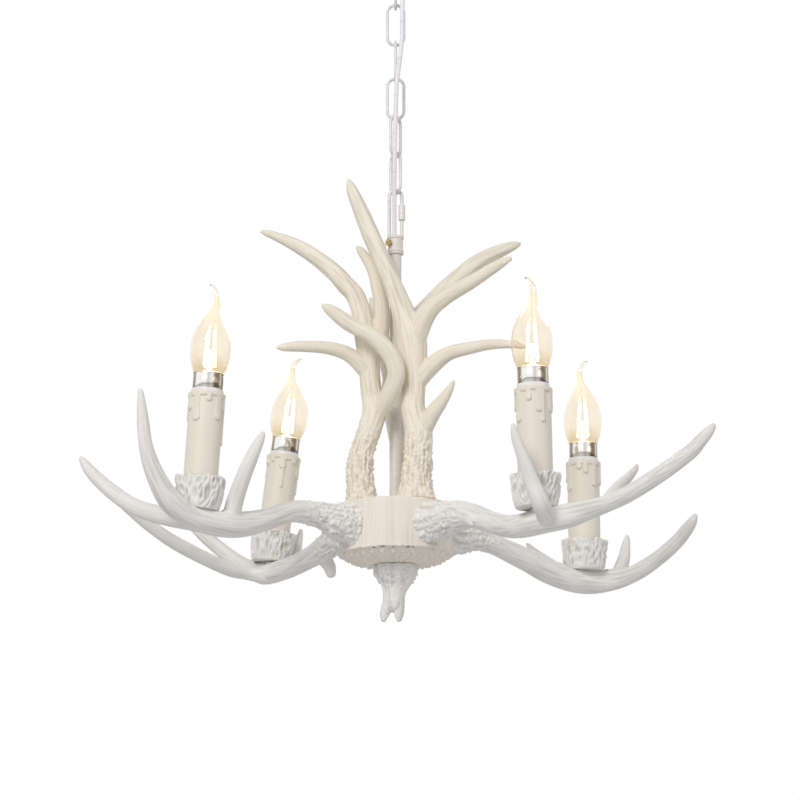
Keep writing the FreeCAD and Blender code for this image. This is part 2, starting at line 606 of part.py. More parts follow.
def antler_arm(name):
    """An arm: its branches, cut to the drum's wall, the candle cup's seat and the two bores."""
    node = "arm_" + name
    first = ARMS[name]["beam"][0]
    inward = radial(arm_azimuth(name), S("hub_radius") - 5, first[2])
    branches = []
    for part, stations in ARMS[name].items():
        run = list(stations)
        if part == "beam":
            run = [(inward.x, inward.y, inward.z, first[3])] + run
        branches.append(branch("%s_%s" % (node, part), run))
    foot, rotation = foot_cylinder(name)
    below = local(foot, rotation, V(0, 0, -9))
    seat = cylinder(node + "_seat", "#cup_rim_radius + 0.4", "60", *foot, rotation)
    bore = cylinder(node + "_bore", "#nipple_radius", "20", *below, rotation)
    drum = cylinder(node + "_drum", "#hub_radius", "120", z=-680)
    bolt_foot = radial(arm_azimuth(name), S("hub_radius") - 2, first[2])
    bolt = cylinder(node + "_bolt", "#bolt_radius", "16", *bolt_foot, aim(radial(arm_azimuth(name), 1, 0)))
    return cut(node, fuse(node + "_branches", branches), fuse(node + "_tools", [seat, bore, drum, bolt]))


def arm_bolts():
    """One bolt for each arm, from inside the drum into the antler's burr."""
    bolts = []
    for name in ARMS:
        azimuth = arm_azimuth(name)
        z = ARMS[name]["beam"][0][2]
        clear = 0.4
        inner = radial(azimuth, S("hub_radius") - S("hub_wall") - clear, z)
        out = aim(radial(azimuth, 1, 0))
        back = radial(azimuth, S("hub_radius") - S("hub_wall") - clear - 5, z)
        head = cylinder("bolt_head", "5", "5", *back, out)
        shank = cylinder("bolt_shank", "#bolt_radius", "17", *inner, out)
        bolts.append(fuse("arm_bolt_" + name, [head, shank]))
    return group("arm_bolts", bolts)


def upright(name):
    node = "upright_" + name
    branches = [branch("%s_%s" % (node, part), run) for part, run in UPRIGHTS[name].items()]
    x, y = UPRIGHTS[name]["trunk"][0][:2]
    bore = cylinder(node + "_bore", "#screw_radius", "12", x, y, S("hub_top") - 0.5)
    floor = cylinder(node + "_floor", "60", "20", z=S("hub_top") - 20)
    nut_room = cylinder(node + "_nut_room", "10.5", "5", z=S("hub_top"))
    return cut(node, fuse(node + "_branches", branches), fuse(node + "_tools", [bore, floor, nut_room]))


def upright_screws():
    """One screw for each upright, from under the plate through the drum's top."""
    screws = []
    under = S("hub_top") - S("hub_wall") - S("plate_gauge")
    for name, trunk in UPRIGHTS.items():
        x, y = trunk["trunk"][0][:2]
        head = cylinder("upright_head", "4.5", "3.5", x, y, under - 3.5)
        shank = cylinder("upright_shank", "#screw_radius", "18", x, y, under)
        screws.append(fuse("upright_screw_" + name, [head, shank]))
    return group("upright_screws", screws)


# ---------------------------------------------------------------- candles
def candle_cup(name, foot, rotation):
    """Bark cup: a thick wall round the candle's foot, bored for the nipple."""
    deep = "#cup_height"
    return turned("cup_" + name, [
        ("#nipple_radius + 0.1", "0"), ("#cup_foot_radius", "0"), ("#cup_foot_radius + 1.2", deep + " * 0.4"),
        ("#cup_rim_radius", deep), ("#candle_radius + 1.6", deep), ("#candle_radius + 0.1", deep + " - 3"),
        ("#candle_radius + 0.1", "#cup_floor"), ("#nipple_radius + 0.1", "#cup_floor"),
    ], *foot, rotation)


def candle_sleeve(name, foot, rotation):
    """Candle tube standing on the cup's floor, swollen by wax near its mouth."""
    top = "#candle_top"
    return turned("candle_" + name, [
        ("#candle_bore", "#cup_floor"), ("#candle_radius", "#cup_floor"), ("#candle_radius", top + " - 34"),
        ("#candle_radius + 0.6", top + " - 26"), ("#wax_radius", top + " - 14"),
        ("#wax_radius", top + " - 4"),
        ("#wax_radius - 1", top + " - 1"), ("#candle_radius - 0.6", top), ("#candle_bore", top),
    ], *foot, rotation)


def lamp_holder(name, foot, rotation):
    """Plastic lamp holder inside the candle, with its white ring on the candle's mouth."""
    top = "#candle_top"
    ring = top + " + #ring_height"
    return turned("holder_" + name, [
        ("#nipple_radius", "#holder_foot"), ("#holder_radius - 2", "#holder_foot"),
        ("#holder_radius", "#holder_foot + 3"), ("#holder_radius", top), ("#ring_radius", top),
        ("#ring_radius", ring + " - 0.6"), ("#ring_radius - 0.6", ring), ("#socket_radius", ring),
        ("#socket_radius", top + " - 22"), ("#nipple_radius", top + " - 22"),
    ], *foot, rotation)


def bulb_cap(name, foot, rotation):
    """Bulb's metal neck: polished skirt above the holder's ring, screw shell down in the socket."""
    seat = "#candle_top + #ring_height + #cap_gap"
    return turned("cap_" + name, [
        ("0", seat + " - #thread_length"), ("2.4", seat + " - #thread_length"),
        ("3", seat + " - #thread_length + 2"), ("#thread_radius", seat + " - #thread_length + 4"),
        ("#thread_radius", seat), ("#cap_radius - 0.5", seat), ("#cap_radius", seat + " + 0.5"),
        ("#cap_radius", seat + " + #cap_height"), ("0", seat + " + #cap_height"),
    ], *foot, rotation)


# Flame glass: share of its height, share of its radius, share of its tip's bend. The blunt tip first
# sways away from the bend and then hooks into it.
FLAME = [(0, 0.74, 0), (0.1, 0.89, 0), (0.25, 1, 0), (0.4, 0.95, 0), (0.52, 0.77, -0.03), (0.63, 0.52, -0.15),
         (0.73, 0.29, -0.45), (0.83, 0.18, -0.75), (0.92, 0.135, -0.35), (1, 0.115, 1)]


def glass_solid(bend, shrink):
    """A flame through its rings, bent towards the given direction near the tip."""
    tall = S("glass_height") - shrink
    rings = []
    for height, wide, push in FLAME:
        radius = max(S("glass_radius") * wide - shrink, 0.35)
        centre = bend * (S("tip_bend") * push) + V(0, 0, tall * height)
        rings.append(Part.Wire([Part.makeCircle(radius, centre, UP)]))
    return Part.makeLoft(rings, True)


def bulb_glass(name, foot, rotation, tip):
    seat = S("candle_top") + S("ring_height") + S("cap_gap") + S("cap_height")
    bend = V(math.cos(math.radians(tip)), math.sin(math.radians(tip)), 0)
    glass = glass_solid(bend, 0).cut(glass_solid(bend, S("glass_wall")))
    glass = glass.Solids[0] if len(glass.Solids) == 1 else glass
    obj = solid_shape("glass_" + name, glass)
    base = local(foot, rotation, V(0, 0, seat))
    obj.Placement = FreeCAD.Placement(base, rotation)
    return obj


def bulb_filament(name, foot, rotation):
    """Glass stem with four light strips leaning out from its top, in one node."""
    seat = S("candle_top") + S("ring_height") + S("cap_gap") + S("cap_height")
    stem = cylinder("stem_glass", "2.6", "22", *local(foot, rotation, V(0, 0, seat)), rotation)
    strips = [stem]
    for i in range(4):
        angle = 45 + 90 * i
        low = radial(angle, 6.6, seat + 8)
        lean = FreeCAD.Rotation(V(-math.sin(math.radians(angle)), math.cos(math.radians(angle)), 0), -6)
        strips.append(cylinder("strip", "0.9", "32", *local(foot, rotation, low), rotation.multiply(lean)))
    return group("filament_" + name, strips)


def lamp_nipples():
    """Threaded tubes that tie arm, cup and lamp holder together."""
    tubes = []
    for name in CANDLES:
        foot, rotation = foot_cylinder(name)
        start = local(foot, rotation, V(0, 0, -9))
        rod = cylinder("lamp_rod", "#nipple_radius", "#holder_foot + 12", *start, rotation)
        bore = cylinder("lamp_bore", "#nipple_bore", "100", *local(foot, rotation, V(0, 0, -12)), rotation)
        tubes.append(cut("lamp_nipple_" + name, rod, bore))
    return group("lamp_nipples", tubes)


# ---------------------------------------------------------------- assembly
def build():
    nodes = [ceiling_bracket(), canopy(), cable_bush(), canopy_nipple(), canopy_loop(), terminal_block()]
    under = -S("bracket_drop") - S("bracket_gauge")
    nuts = [nut("bracket_nut_low", under - S("nut_height")), nut("bracket_nut_top", -S("bracket_drop"))]
    nodes.append(group("bracket_nuts", nuts))
    nodes += [chain_link(i, azimuth) for i, azimuth in enumerate(LINK_AZIMUTHS)]
    nodes += [cable_tube(), stem_bail(), bail_sleeve(), stem_collar(), collar_screw()]
    nodes += [stem_tube(), stem_nuts()]
    nodes += [hub_body(), hub_plate(), hub_underside(), finial(), finial_stud(), wire_connectors()]
    nodes += [antler_arm(name) for name in ARMS] + [arm_bolts()]
    nodes += [upright(name) for name in UPRIGHTS] + [upright_screws()]
    for name, candle in CANDLES.items():
        foot, rotation = foot_cylinder(name)
        nodes += [candle_cup(name, foot, rotation), candle_sleeve(name, foot, rotation),
                  lamp_holder(name, foot, rotation), bulb_cap(name, foot, rotation),
                  bulb_glass(name, foot, rotation, candle["tip"]), bulb_filament(name, foot, rotation)]
    nodes.append(lamp_nipples())
    return nodes


NODES = build()
doc.recompute()

for item in doc.Objects:
    if "Invalid" in item.State or "Error" in item.State:
        raise RuntimeError("failed object: %s %s" % (item.Label, item.State))
for item in NODES:
    if item.Shape.isNull() or not item.Shape.isValid():
        raise RuntimeError("bad shape: " + item.Label)

os.makedirs("parts", exist_ok=True)
for item in NODES:
    item.Shape.exportStep("parts/%s.step" % item.Label)
print("%d nodes written" % len(NODES))
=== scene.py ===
import json
import math

import bpy
import numpy as np
from mathutils import Euler, Matrix, Vector


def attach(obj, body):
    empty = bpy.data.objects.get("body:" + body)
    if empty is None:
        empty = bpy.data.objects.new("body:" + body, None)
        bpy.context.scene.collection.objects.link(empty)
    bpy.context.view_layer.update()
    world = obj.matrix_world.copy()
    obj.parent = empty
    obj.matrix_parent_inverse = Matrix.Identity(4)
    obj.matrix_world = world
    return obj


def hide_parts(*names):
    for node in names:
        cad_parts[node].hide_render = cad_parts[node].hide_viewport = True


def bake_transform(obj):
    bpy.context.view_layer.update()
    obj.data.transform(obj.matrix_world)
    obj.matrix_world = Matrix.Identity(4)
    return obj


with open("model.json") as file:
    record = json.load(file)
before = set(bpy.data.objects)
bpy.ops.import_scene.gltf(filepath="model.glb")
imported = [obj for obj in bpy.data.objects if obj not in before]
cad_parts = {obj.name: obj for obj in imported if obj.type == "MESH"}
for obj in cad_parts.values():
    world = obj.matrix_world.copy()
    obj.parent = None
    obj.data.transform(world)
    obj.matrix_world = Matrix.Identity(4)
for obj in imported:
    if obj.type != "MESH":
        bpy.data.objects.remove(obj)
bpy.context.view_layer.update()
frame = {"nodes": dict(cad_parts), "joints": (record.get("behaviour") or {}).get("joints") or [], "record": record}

# Antler chandelier. Metres, +Z up, the origin on the ceiling, the front towards -Y.
MM = 0.001
NODES = frame["nodes"]

# Camera, set from the bulbs' widths and the rows of the cups in the 800 pixel photograph.
CAMERA_PLACE = (0.0042, -2.784, -1.128)
CAMERA_RISE = 12.87
FOCAL_PIXELS = 3072
PHOTO_WIDTH = 800
SENSOR = 36

# The hub, as in the CAD model.
HUB_RADIUS = 0.052
HUB_TOP = -0.5925
HUB_HEIGHT = 0.0455
HUB_FOOT = HUB_TOP - HUB_HEIGHT
HUB_WALL = 0.004
HUB_BEVEL = 0.0012
STEM_RADIUS = 0.0055
DISH_RADIUS = 0.049
DISH_DEPTH = 0.010
DISH_FOOT = HUB_FOOT - DISH_DEPTH

# The candles and bulbs, as in the CAD model. Heights are above the cup's foot.
CUP_HEIGHT = 0.030
CUP_FLOOR = 0.004
CANDLE_RADIUS = 0.0154
CANDLE_BORE = 0.0142
CANDLE_TOP = 0.1062
CAP_RADIUS = 0.0137
CAP_HEIGHT = 0.0135
CAP_TOP = 0.1235
GLASS_HEIGHT = 0.083
GLASS_RADIUS = 0.0182
GLASS_WALL = 0.0008
TIP_BEND = 0.0035

# How pieces meet: the play of a fit, and how closely two faces lie.
FIT_GAP = 0.0001
SEAM = 0.0002

CANDLES = {
    "front_left": {"foot": (-174, -118, -619), "lean": 3.5, "tip": 180, "turn": 20},
    "front_right": {"foot": (122, -175, -627.7), "lean": -0.9, "tip": 180, "turn": 200},
    "rear_right": {"foot": (181, 118, -632.7), "lean": 0, "tip": 0, "turn": 75},
    "rear_left": {"foot": (-122.5, 175, -614.5), "lean": 6.8, "tip": 0, "turn": 310},
}

# Antlers: runs of round stations (x, y, z, radius) in millimetres, root to tip, as in the CAD model.
ARMS = {
    "front_left": {
        "beam": [(-43.5, -29, -614.5, 19), (-56, -40, -613, 14.8), (-69, -48, -610, 11.2),
                 (-92, -66, -610, 10), (-115, -84, -620.5, 10), (-138, -101, -628.5, 11.6),
                 (-162, -116, -628.5, 11.8), (-183.5, -129, -623, 11), (-198, -140, -613, 10.3),
                 (-209.5, -150, -594, 8.4), (-217.5, -158, -571, 6.4), (-220.5, -162, -547, 5.2),
                 (-222, -164, -531, 3.8), (-223, -165, -521.5, 2.4)],
        "low_tine": [(-158, -113, -630, 10), (-181, -100, -624.5, 9.2), (-205, -86, -618, 8.4),
                     (-232, -70, -607.5, 7.6), (-256, -56, -590, 7), (-275, -46, -571.5, 5.8),
                     (-283, -42, -561, 4.2), (-286.5, -40, -556, 2.4)],
        "brow_tine": [(-147, -104, -630, 8.6), (-142, -112, -610, 7.7), (-135.5, -119, -592, 6.9),
                      (-128, -122, -574, 6.1), (-120.5, -124, -558, 4.4), (-117.5, -125, -551.5, 2.6)],
    },
    "front_right": {
        "beam": [(34.5, -39.5, -615.5, 18.5), (48, -56, -614.5, 14.6), (66, -82, -616.5, 11.4),
                 (82, -103, -625.5, 10.2), (96, -124, -634, 10), (110, -152, -639, 10.3),
                 (128, -176, -639, 11.2), (150, -179, -635, 10.6), (178, -166, -624, 7.8),
                 (205, -148, -609, 7.2), (235, -128, -587, 7.3), (262, -113, -565, 6.6),
                 (271, -107, -555, 6.1), (279.5, -103, -545, 5), (284, -101, -539, 3)],
        "brow_tine": [(132, -178, -640, 8.2), (125, -204, -630, 7.9), (117, -208, -611, 6.6),
                      (111, -211, -594, 5.8), (104, -215, -576, 4.4), (101.5, -217, -567, 2.8),
                      (101, -217, -563.5, 1.8)],
        "far_tine": [(181, -160, -624, 6.2), (196, -122, -600, 5.6), (208, -90, -584, 4.4),
                     (216.5, -63, -571, 3), (218.5, -60, -566.5, 1.8)],
        "nub": [(64, -84, -619, 6), (66, -102, -626, 3.5), (68, -110, -630, 1.6)],
    },
    "rear_right": {
        "beam": [(47, 31, -613, 18), (56, 36, -614, 17), (66, 42, -613.5, 14.5), (79, 49, -614.5, 10.6),
                 (95, 60, -618.5, 9.8), (123, 82, -628.5, 10.4), (149, 102, -637.5, 11.4),
                 (178, 120, -642, 12.2), (204, 126, -640.5, 11), (226, 119, -636, 8.4),
                 (247, 105, -625, 7.2), (266, 84, -611, 6.3), (275, 71, -601, 5.8), (279.5, 63, -595, 4.6),
                 (282, 59.5, -590.5, 2.6)],
        "ridge": [(85, 52, -614, 6), (108, 74, -618, 6.5), (133, 97, -625, 6.5), (157, 112, -632, 5.5),
                  (176, 117, -634, 2.5)],
        "outer_tine": [(213, 124, -636, 7.2), (220, 140, -618, 6), (222.5, 147, -605, 4.6),
                       (224, 149, -597, 3.2), (224.5, 150, -593.5, 1.8)],
        "brow_tine": [(160, 112, -636, 6.5), (147, 136, -621, 4.8), (137, 146, -611, 3.6),
                      (129.5, 151, -603, 2.4), (127.5, 152, -600.5, 1.4)],
    },
    "rear_left": {
        "beam": [(-41, 47, -611, 17), (-52, 62, -612, 13), (-65, 80, -616, 11.5), (-79, 102, -621, 10.6),
                 (-96, 132, -624.5, 10), (-113, 158, -626, 9.8), (-130, 178, -625.5, 9.8),
                 (-148, 190, -616, 8), (-163, 196, -605, 7.4), (-180, 200, -591, 6.9), (-196, 202, -576, 6),
                 (-207, 203, -563, 5), (-215, 203, -553, 3.8), (-218, 203, -549, 2)],
        "long_tine": [(-124, 170, -629, 8.6), (-145, 168, -626, 7), (-165, 154, -623.5, 6.8),
                      (-207, 118, -608, 6.6), (-232, 98, -594, 6), (-252, 84, -579.5, 5.2),
                      (-263, 80, -570, 4.4), (-269, 77, -562.5, 3.2), (-272, 76, -559, 1.8)],
        "brow_tine": [(-104, 150, -627, 6), (-99.5, 172, -616.5, 5.2), (-97, 190, -601, 4.4),
                      (-94.5, 197, -585, 3.2), (-93.5, 199, -578.5, 1.8)],
        "stub": [(-72, 92, -620, 8), (-63.5, 97, -631, 6.2), (-61.5, 98, -638, 5)],
    },
}
UPRIGHTS = {
    "right": {
        "trunk": [(19, -28, -592.5, 18), (19, -28, -576, 13.8), (21, -28, -550, 12.5), (21, -27, -526, 12.7),
                  (16.5, -25, -505, 11.2), (17, -24, -484, 10.8), (16, -24, -459, 13),
                  (13.5, -24, -437, 14.2), (6.5, -24, -412, 10.4), (-3, -24, -387, 9),
                  (-14.5, -24, -359, 8.6), (-25.5, -23, -333, 7.8), (-33, -22, -314, 7),
                  (-40, -21, -297, 5.5), (-42.8, -21, -289, 3.6), (-43.5, -21, -286, 2)],
        "front_tine": [(15, -24, -444, 12), (29, -32, -417, 9.2), (46, -38, -403, 7.4), (69, -45, -391, 6.4),
                       (88, -51, -380, 5.4), (98, -54, -374.5, 4.4), (105, -56, -371.5, 2.6)],
        "flat_tine": [(18, -24, -481, 9.2), (35, -30, -465, 8.2), (49, -36, -456.5, 6.6),
                      (64, -42, -453.5, 6), (84, -48, -451, 5), (100, -53, -451.5, 4), (112, -56, -454, 2.8),
                      (117, -57, -455, 1.6)],
        "small_tine": [(23, -28, -529, 9.5), (34, -36, -513, 7.4), (42, -41, -503, 5.8),
                       (48.5, -45, -494, 4), (53, -48, -486, 2)],
    },
    "left": {
        "trunk": [(-31, -20, -592.5, 14), (-32, -20, -576, 12.2), (-32.5, -20, -557, 11.2),
                  (-29, -20, -540, 10.6), (-23.5, -21, -524, 11), (-19, -20, -506, 11.4),
                  (-22.5, -17, -484, 9.6), (-25, -15, -457, 9.4), (-28.5, -14, -434, 9.4),
                  (-32, -12, -411, 9), (-38, -8, -393.5, 8.9), (-47, -6, -382.5, 8.9),
                  (-57, -4, -370.5, 8.2), (-75.5, 0, -354, 7.3), (-94, 2, -342, 6), (-111, 4, -333.5, 4.3),
                  (-121, 5, -329.5, 3.3), (-125.5, 5, -328, 2)],
        "flat_tine": [(-24, -16, -470, 8.6), (-43, -20, -453.5, 7), (-63, -24, -448, 5.9),
                      (-85, -28, -447.5, 5.2), (-96, -29, -448, 4.6), (-104, -31, -449, 3.6),
                      (-108, -32, -449.5, 2)],
        "centre_tine": [(-24, -14, -462, 8.4), (-16, -12, -440, 8.4), (-12.8, -10, -418, 7.8),
                        (-13.5, -10, -400.5, 7), (-16.8, -10, -385, 6.4), (-20.8, -10, -370, 5.8),
                        (-27.5, -10, -358, 4.8), (-33, -11, -350.5, 3.6), (-35.5, -11, -348, 2)],
        "cross_tine": [(-17, -20, -511, 9), (-5.5, -33, -494, 8.4), (0.8, -41, -477, 8.2),
                       (-4, -42, -460, 8.2), (-20, -43, -442.5, 7.6), (-37, -43, -433, 7),
                       (-46.5, -43.5, -427, 7), (-55.5, -44, -420.3, 6), (-62, -45.5, -416, 4.6),
                       (-66, -46, -413.5, 2.4)],
    },
    "rear": {
        "trunk": [(12, 33, -592.5, 14.5), (11, 33, -572, 11.5), (7, 34, -534, 11), (2, 35, -503, 11.5),
                  (0, 36, -474, 12.8), (6, 37, -440, 12), (18, 38, -410, 10), (37, 42, -386, 9.2),
                  (57, 46, -365, 8.8), (72, 49, -351, 8.2), (86, 50, -341, 7.3), (104, 54, -331.5, 6),
                  (114, 56, -327, 4.2), (118.5, 57, -325.5, 2.2)],
        "left_tine": [(0, 37, -474, 10), (-10, 42, -434, 8), (-18, 47, -403, 6), (-22.5, 50, -385, 3),
                      (-24, 51, -380.5, 1.6)],
        "back_tine": [(2, 37, -510, 9), (7, 60, -476, 7), (12, 82, -440, 5), (16, 94, -413, 2.8),
                      (17, 97, -407.5, 1.5)],
        "low_tine": [(8, 36, -540, 8), (19, 58, -514, 5.5), (27, 70, -495, 2.8), (28, 72, -490.5, 1.5)],
    },
}
FINIAL = {
    "burr": [(0, 0, -648.2, 19.2), (0, 0, -651, 19.8), (0, 0, -656, 19), (0, 0, -662, 15.5),
             (-0.5, 0, -668, 11.6), (-1.5, 0, -676, 10), (-2, 0, -682, 9.6)],
    "left_prong": [(-4.5, 0, -676, 5.6), (-7.5, -1, -686, 5.2), (-9.8, -1, -693, 4.3),
                   (-10.6, -1, -697.5, 2.8)],
    "right_prong": [(2.5, 0, -676, 6.2), (3.2, -1, -686, 5), (3.4, -1, -693, 4.4), (3.2, -1, -697.5, 2.8)],
}

# Supply cable: the route's points, in millimetres, and its two cores side by side.
CABLE_ROUTE = [
    (15, -9, -24), (14.5, -9.4, -44), (11, -11.5, -64), (7.5, -13.4, -88), (6.2, -14.2, -116),
    (6.4, -14.6, -142), (4, -14.4, -164), (1, -14.6, -186), (0.2, -14, -212), (-0.4, -13.6, -238),
    (-0.8, -12.2, -264), (-1.2, -9.4, -288), (-1.1, -5, -308), (-1.1, -2.5, -324), (-1, -1.8, -341),
]
CABLE_WIDTH = 0.0042

# Skins of the antlers and the finial, and how far from its root each antler is crusted.
ANTLER_VOXEL = 0.00095
FINIAL_VOXEL = 0.0008
ARM_CRUST = 0.062
UPRIGHT_CRUST = 0.085
# Rows along a branch's centre line are this many millimetres apart.
ROW_SPACING = 1.2

# The stage.
FLOOR_HEIGHT = -1.75
FLOOR_HALF_WIDTH = 6
WORLD_STRENGTH = 0.44
LAMP_TARGET = (0, 0, -0.5)
# each lamp's name, place, diameter, watts and colour
LAMPS = [
    ("key", (-1.2, -2.6, 1.0), 1.3, 50, (1.0, 0.975, 0.94)),
    ("fill", (2.4, -1.6, 0.2), 2.0, 10, (1.0, 0.985, 0.965)),
    ("back", (0.3, 2.6, 1.2), 1.8, 9, (1.0, 1.0, 1.0)),
]


# ---- noise and mesh helpers
RANDOM = np.random.RandomState(11)
SHUFFLE = RANDOM.permutation(256)
SLOPES = RANDOM.normal(size=(256, 3))
SLOPES /= np.linalg.norm(SLOPES, axis=1)[:, None]


def noise(points):
    """Smooth gradient noise, about -1 to 1, at each row of points."""
    cell = np.floor(points).astype(int)
    part = points - cell
    ease = part ** 3 * (part * (part * 6 - 15) + 10)
    total = np.zeros(len(points))
    for corner in np.ndindex(2, 2, 2):
        spot = cell + corner
        key = SHUFFLE[spot[:, 0] & 255]
        key = SHUFFLE[(key + spot[:, 1]) & 255]
        key = SHUFFLE[(key + spot[:, 2]) & 255]
        dot = (SLOPES[key] * (part - corner)).sum(1)
        weight = np.prod(np.where(np.array(corner) == 1, ease, 1 - ease), axis=1)
        total += weight * dot
    return total * 1.6


def ridged(points):
    """Noise folded into sharp ridges, 0 to 1, highest on the ridges."""
    return 1 - np.minimum(np.abs(noise(points)) * 1.7, 1)


def step(low, high, x):
    t = np.clip((x - low) / (high - low), 0, 1)
    return t * t * (3 - 2 * t)


def placed(name, data):
    """An object of the data, in the scene."""
    obj = bpy.data.objects.new(name, data)
    bpy.context.scene.collection.objects.link(obj)
    return obj


def shown(name, mesh):
    """A smooth-shaded object of a mesh, in the scene."""
    mesh.polygons.foreach_set("use_smooth", [True] * len(mesh.polygons))
    return placed(name, mesh)


def mesh_object(name, verts, faces):
    mesh = bpy.data.meshes.new(name)
    mesh.from_pydata([tuple(v) for v in verts], [], faces)
    mesh.validate()
    return shown(name, mesh)


def positions(obj):
    co = np.zeros(len(obj.data.vertices) * 3)
    obj.data.vertices.foreach_get("co", co)
    return co.reshape(-1, 3)


def set_positions(obj, co):
    obj.data.vertices.foreach_set("co", co.ravel())
    obj.data.update()


def normals(obj):
    out = np.zeros(len(obj.data.vertices) * 3)
    obj.data.vertices.foreach_get("normal", out)
    return out.reshape(-1, 3)


def tint(obj, values, name="painted_light"):
    """Store one number per vertex for the material to read."""
    attribute = obj.data.attributes.new(name, "FLOAT", "POINT")
    attribute.data.foreach_set("value", np.asarray(values, np.float32))


def smooth_mesh(obj, rounds):
    """Move each vertex towards the mean of its neighbours, then most of the way back.

    The move back keeps the girth of thin tines.
    """
    edges = np.zeros(len(obj.data.edges) * 2, int)
    obj.data.edges.foreach_get("vertices", edges)
    a, b = edges.reshape(-1, 2).T
    co = positions(obj)
    count = np.bincount(a, minlength=len(co)) + np.bincount(b, minlength=len(co))
    count = np.maximum(count, 1)[:, None]
    for _ in range(rounds):
        for pull in (0.5, -0.48):
            total = np.stack([np.bincount(a, co[b, k], len(co)) + np.bincount(b, co[a, k], len(co))
                              for k in range(3)], 1)
            co += pull * (total / count - co)
    set_positions(obj, co)


def spline(stations, gap=ROW_SPACING * MM):
    """Closely spaced (x, y, z, radius) rows on a smooth curve through the stations, in metres."""
    rows = np.array(stations, float) * MM
    ends = np.vstack([2 * rows[0] - rows[1], rows, 2 * rows[-1] - rows[-2]])
    out = []
    for p0, p1, p2, p3 in zip(ends, ends[1:], ends[2:], ends[3:]):
        steps = max(2, int(np.linalg.norm(p2[:3] - p1[:3]) / gap))
        for t in np.arange(steps) / steps:
            out.append(0.5 * (2 * p1 + (p2 - p0) * t + (2 * p0 - 5 * p1 + 4 * p2 - p3) * t ** 2
                              + (3 * p1 - p0 - 3 * p2 + p3) * t ** 3))
    out.append(rows[-1])
    out = np.array(out)
    out[:, 3] = np.maximum(out[:, 3], 0.4 * MM)
    return out


def turned_frames(line):
    """Two side directions along a line, with as little twist as it allows."""
    tangent = np.gradient(line, axis=0)
    tangent /= np.linalg.norm(tangent, axis=1)[:, None]
    side = np.cross(tangent[0], (0, 0, 1) if abs(tangent[0][2]) < 0.9 else (0, 1, 0))
    sides = []
    for t in tangent:
        side = side - t * side.dot(t)
        side = side / np.linalg.norm(side)
        sides.append(side)
    sides = np.array(sides)
    return sides, np.cross(tangent, sides)


def swept(rows, section, side, other):
    """Vertices and side faces of a section carried along (x, y, z, radius) rows."""
    line, radius = rows[:, :3], rows[:, 3]
    verts = (line[:, None, :] + radius[:, None, None] * (section[None, :, :1] * side[:, None, :]
             + section[None, :, 1:] * other[:, None, :])).reshape(-1, 3)
    n = len(section)
    faces = [(i * n + j, i * n + (j + 1) % n, (i + 1) * n + (j + 1) % n, (i + 1) * n + j)
             for i in range(len(line) - 1) for j in range(n)]
    return verts, faces


def tube(rows, segments):
    """Vertices and faces of a closed tube through (x, y, z, radius) rows, rounded over at its tip."""
    onward = rows[-1, :3] - rows[-2, :3]
    onward /= np.linalg.norm(onward)
    end, thin = rows[-1, :3], rows[-1, 3]
    rounding = [np.append(end + onward * thin * share, thin * math.sqrt(1 - share ** 2))
                for share in (0.55, 0.85)]
    rows = np.vstack([rows] + rounding)
    angle = np.linspace(0, 2 * math.pi, segments, endpoint=False)
    ring = np.stack([np.cos(angle), np.sin(angle)], 1)
    verts, faces = swept(rows, ring, *turned_frames(rows[:, :3]))
    caps = np.array([rows[0, :3], end + onward * thin])
    first, last = len(verts), len(verts) + 1
    faces += [(first, (j + 1) % segments, j) for j in range(segments)]
    tail = len(verts) - segments
    faces += [(last, tail + j, tail + (j + 1) % segments) for j in range(segments)]
    return np.vstack([verts, caps]), faces


def merged(name, tubes):
    """One object of several tubes' meshes."""
    verts, faces, offset = [], [], 0
    for points, sides in tubes:
        verts.append(points)
        faces += [tuple(i + offset for i in face) for face in sides]
        offset += len(points)
    return mesh_object(name, np.vstack(verts), faces)


def remeshed(name, tubes, voxel):
    """One skin round several overlapping tubes."""
    rough = merged(name + "_rough", tubes)
    remesh = rough.modifiers.new("skin", "REMESH")
    remesh.mode = "VOXEL"
    remesh.voxel_size = voxel
    graph = bpy.context.evaluated_depsgraph_get()
    mesh = bpy.data.meshes.new_from_object(rough.evaluated_get(graph))
    bpy.data.objects.remove(rough)
    mesh.name = name
    return shown(name, mesh)


class Branches:
    """The centre lines of an antler, to find where a skin vertex lies along and around its branch."""

    CHUNK = 4000

    def __init__(self, runs):
        lines = [spline(run) for run in runs.values()]
        frames = [turned_frames(line[:, :3]) for line in lines]
        self.rows = np.vstack(lines)
        self.side, self.other = (np.vstack([f[k] for f in frames]) for k in range(2))
        self.along = np.concatenate([np.arange(len(line)) * ROW_SPACING * MM for line in lines])
        self.number = np.concatenate([np.full(len(line), k) for k, line in enumerate(lines)])

    def locate(self, co):
        """For each vertex, the nearest row of a centre line, and the angle round it."""
        nearest = np.zeros(len(co), int)
        for start in range(0, len(co), self.CHUNK):
            part = co[start:start + self.CHUNK]
            gap = np.linalg.norm(part[:, None, :] - self.rows[None, :, :3], axis=2) - self.rows[None, :, 3]
            nearest[start:start + self.CHUNK] = gap.argmin(1)
        away = co - self.rows[nearest, :3]
        angle = np.arctan2((away * self.other[nearest]).sum(1), (away * self.side[nearest]).sum(1))
        return nearest, angle


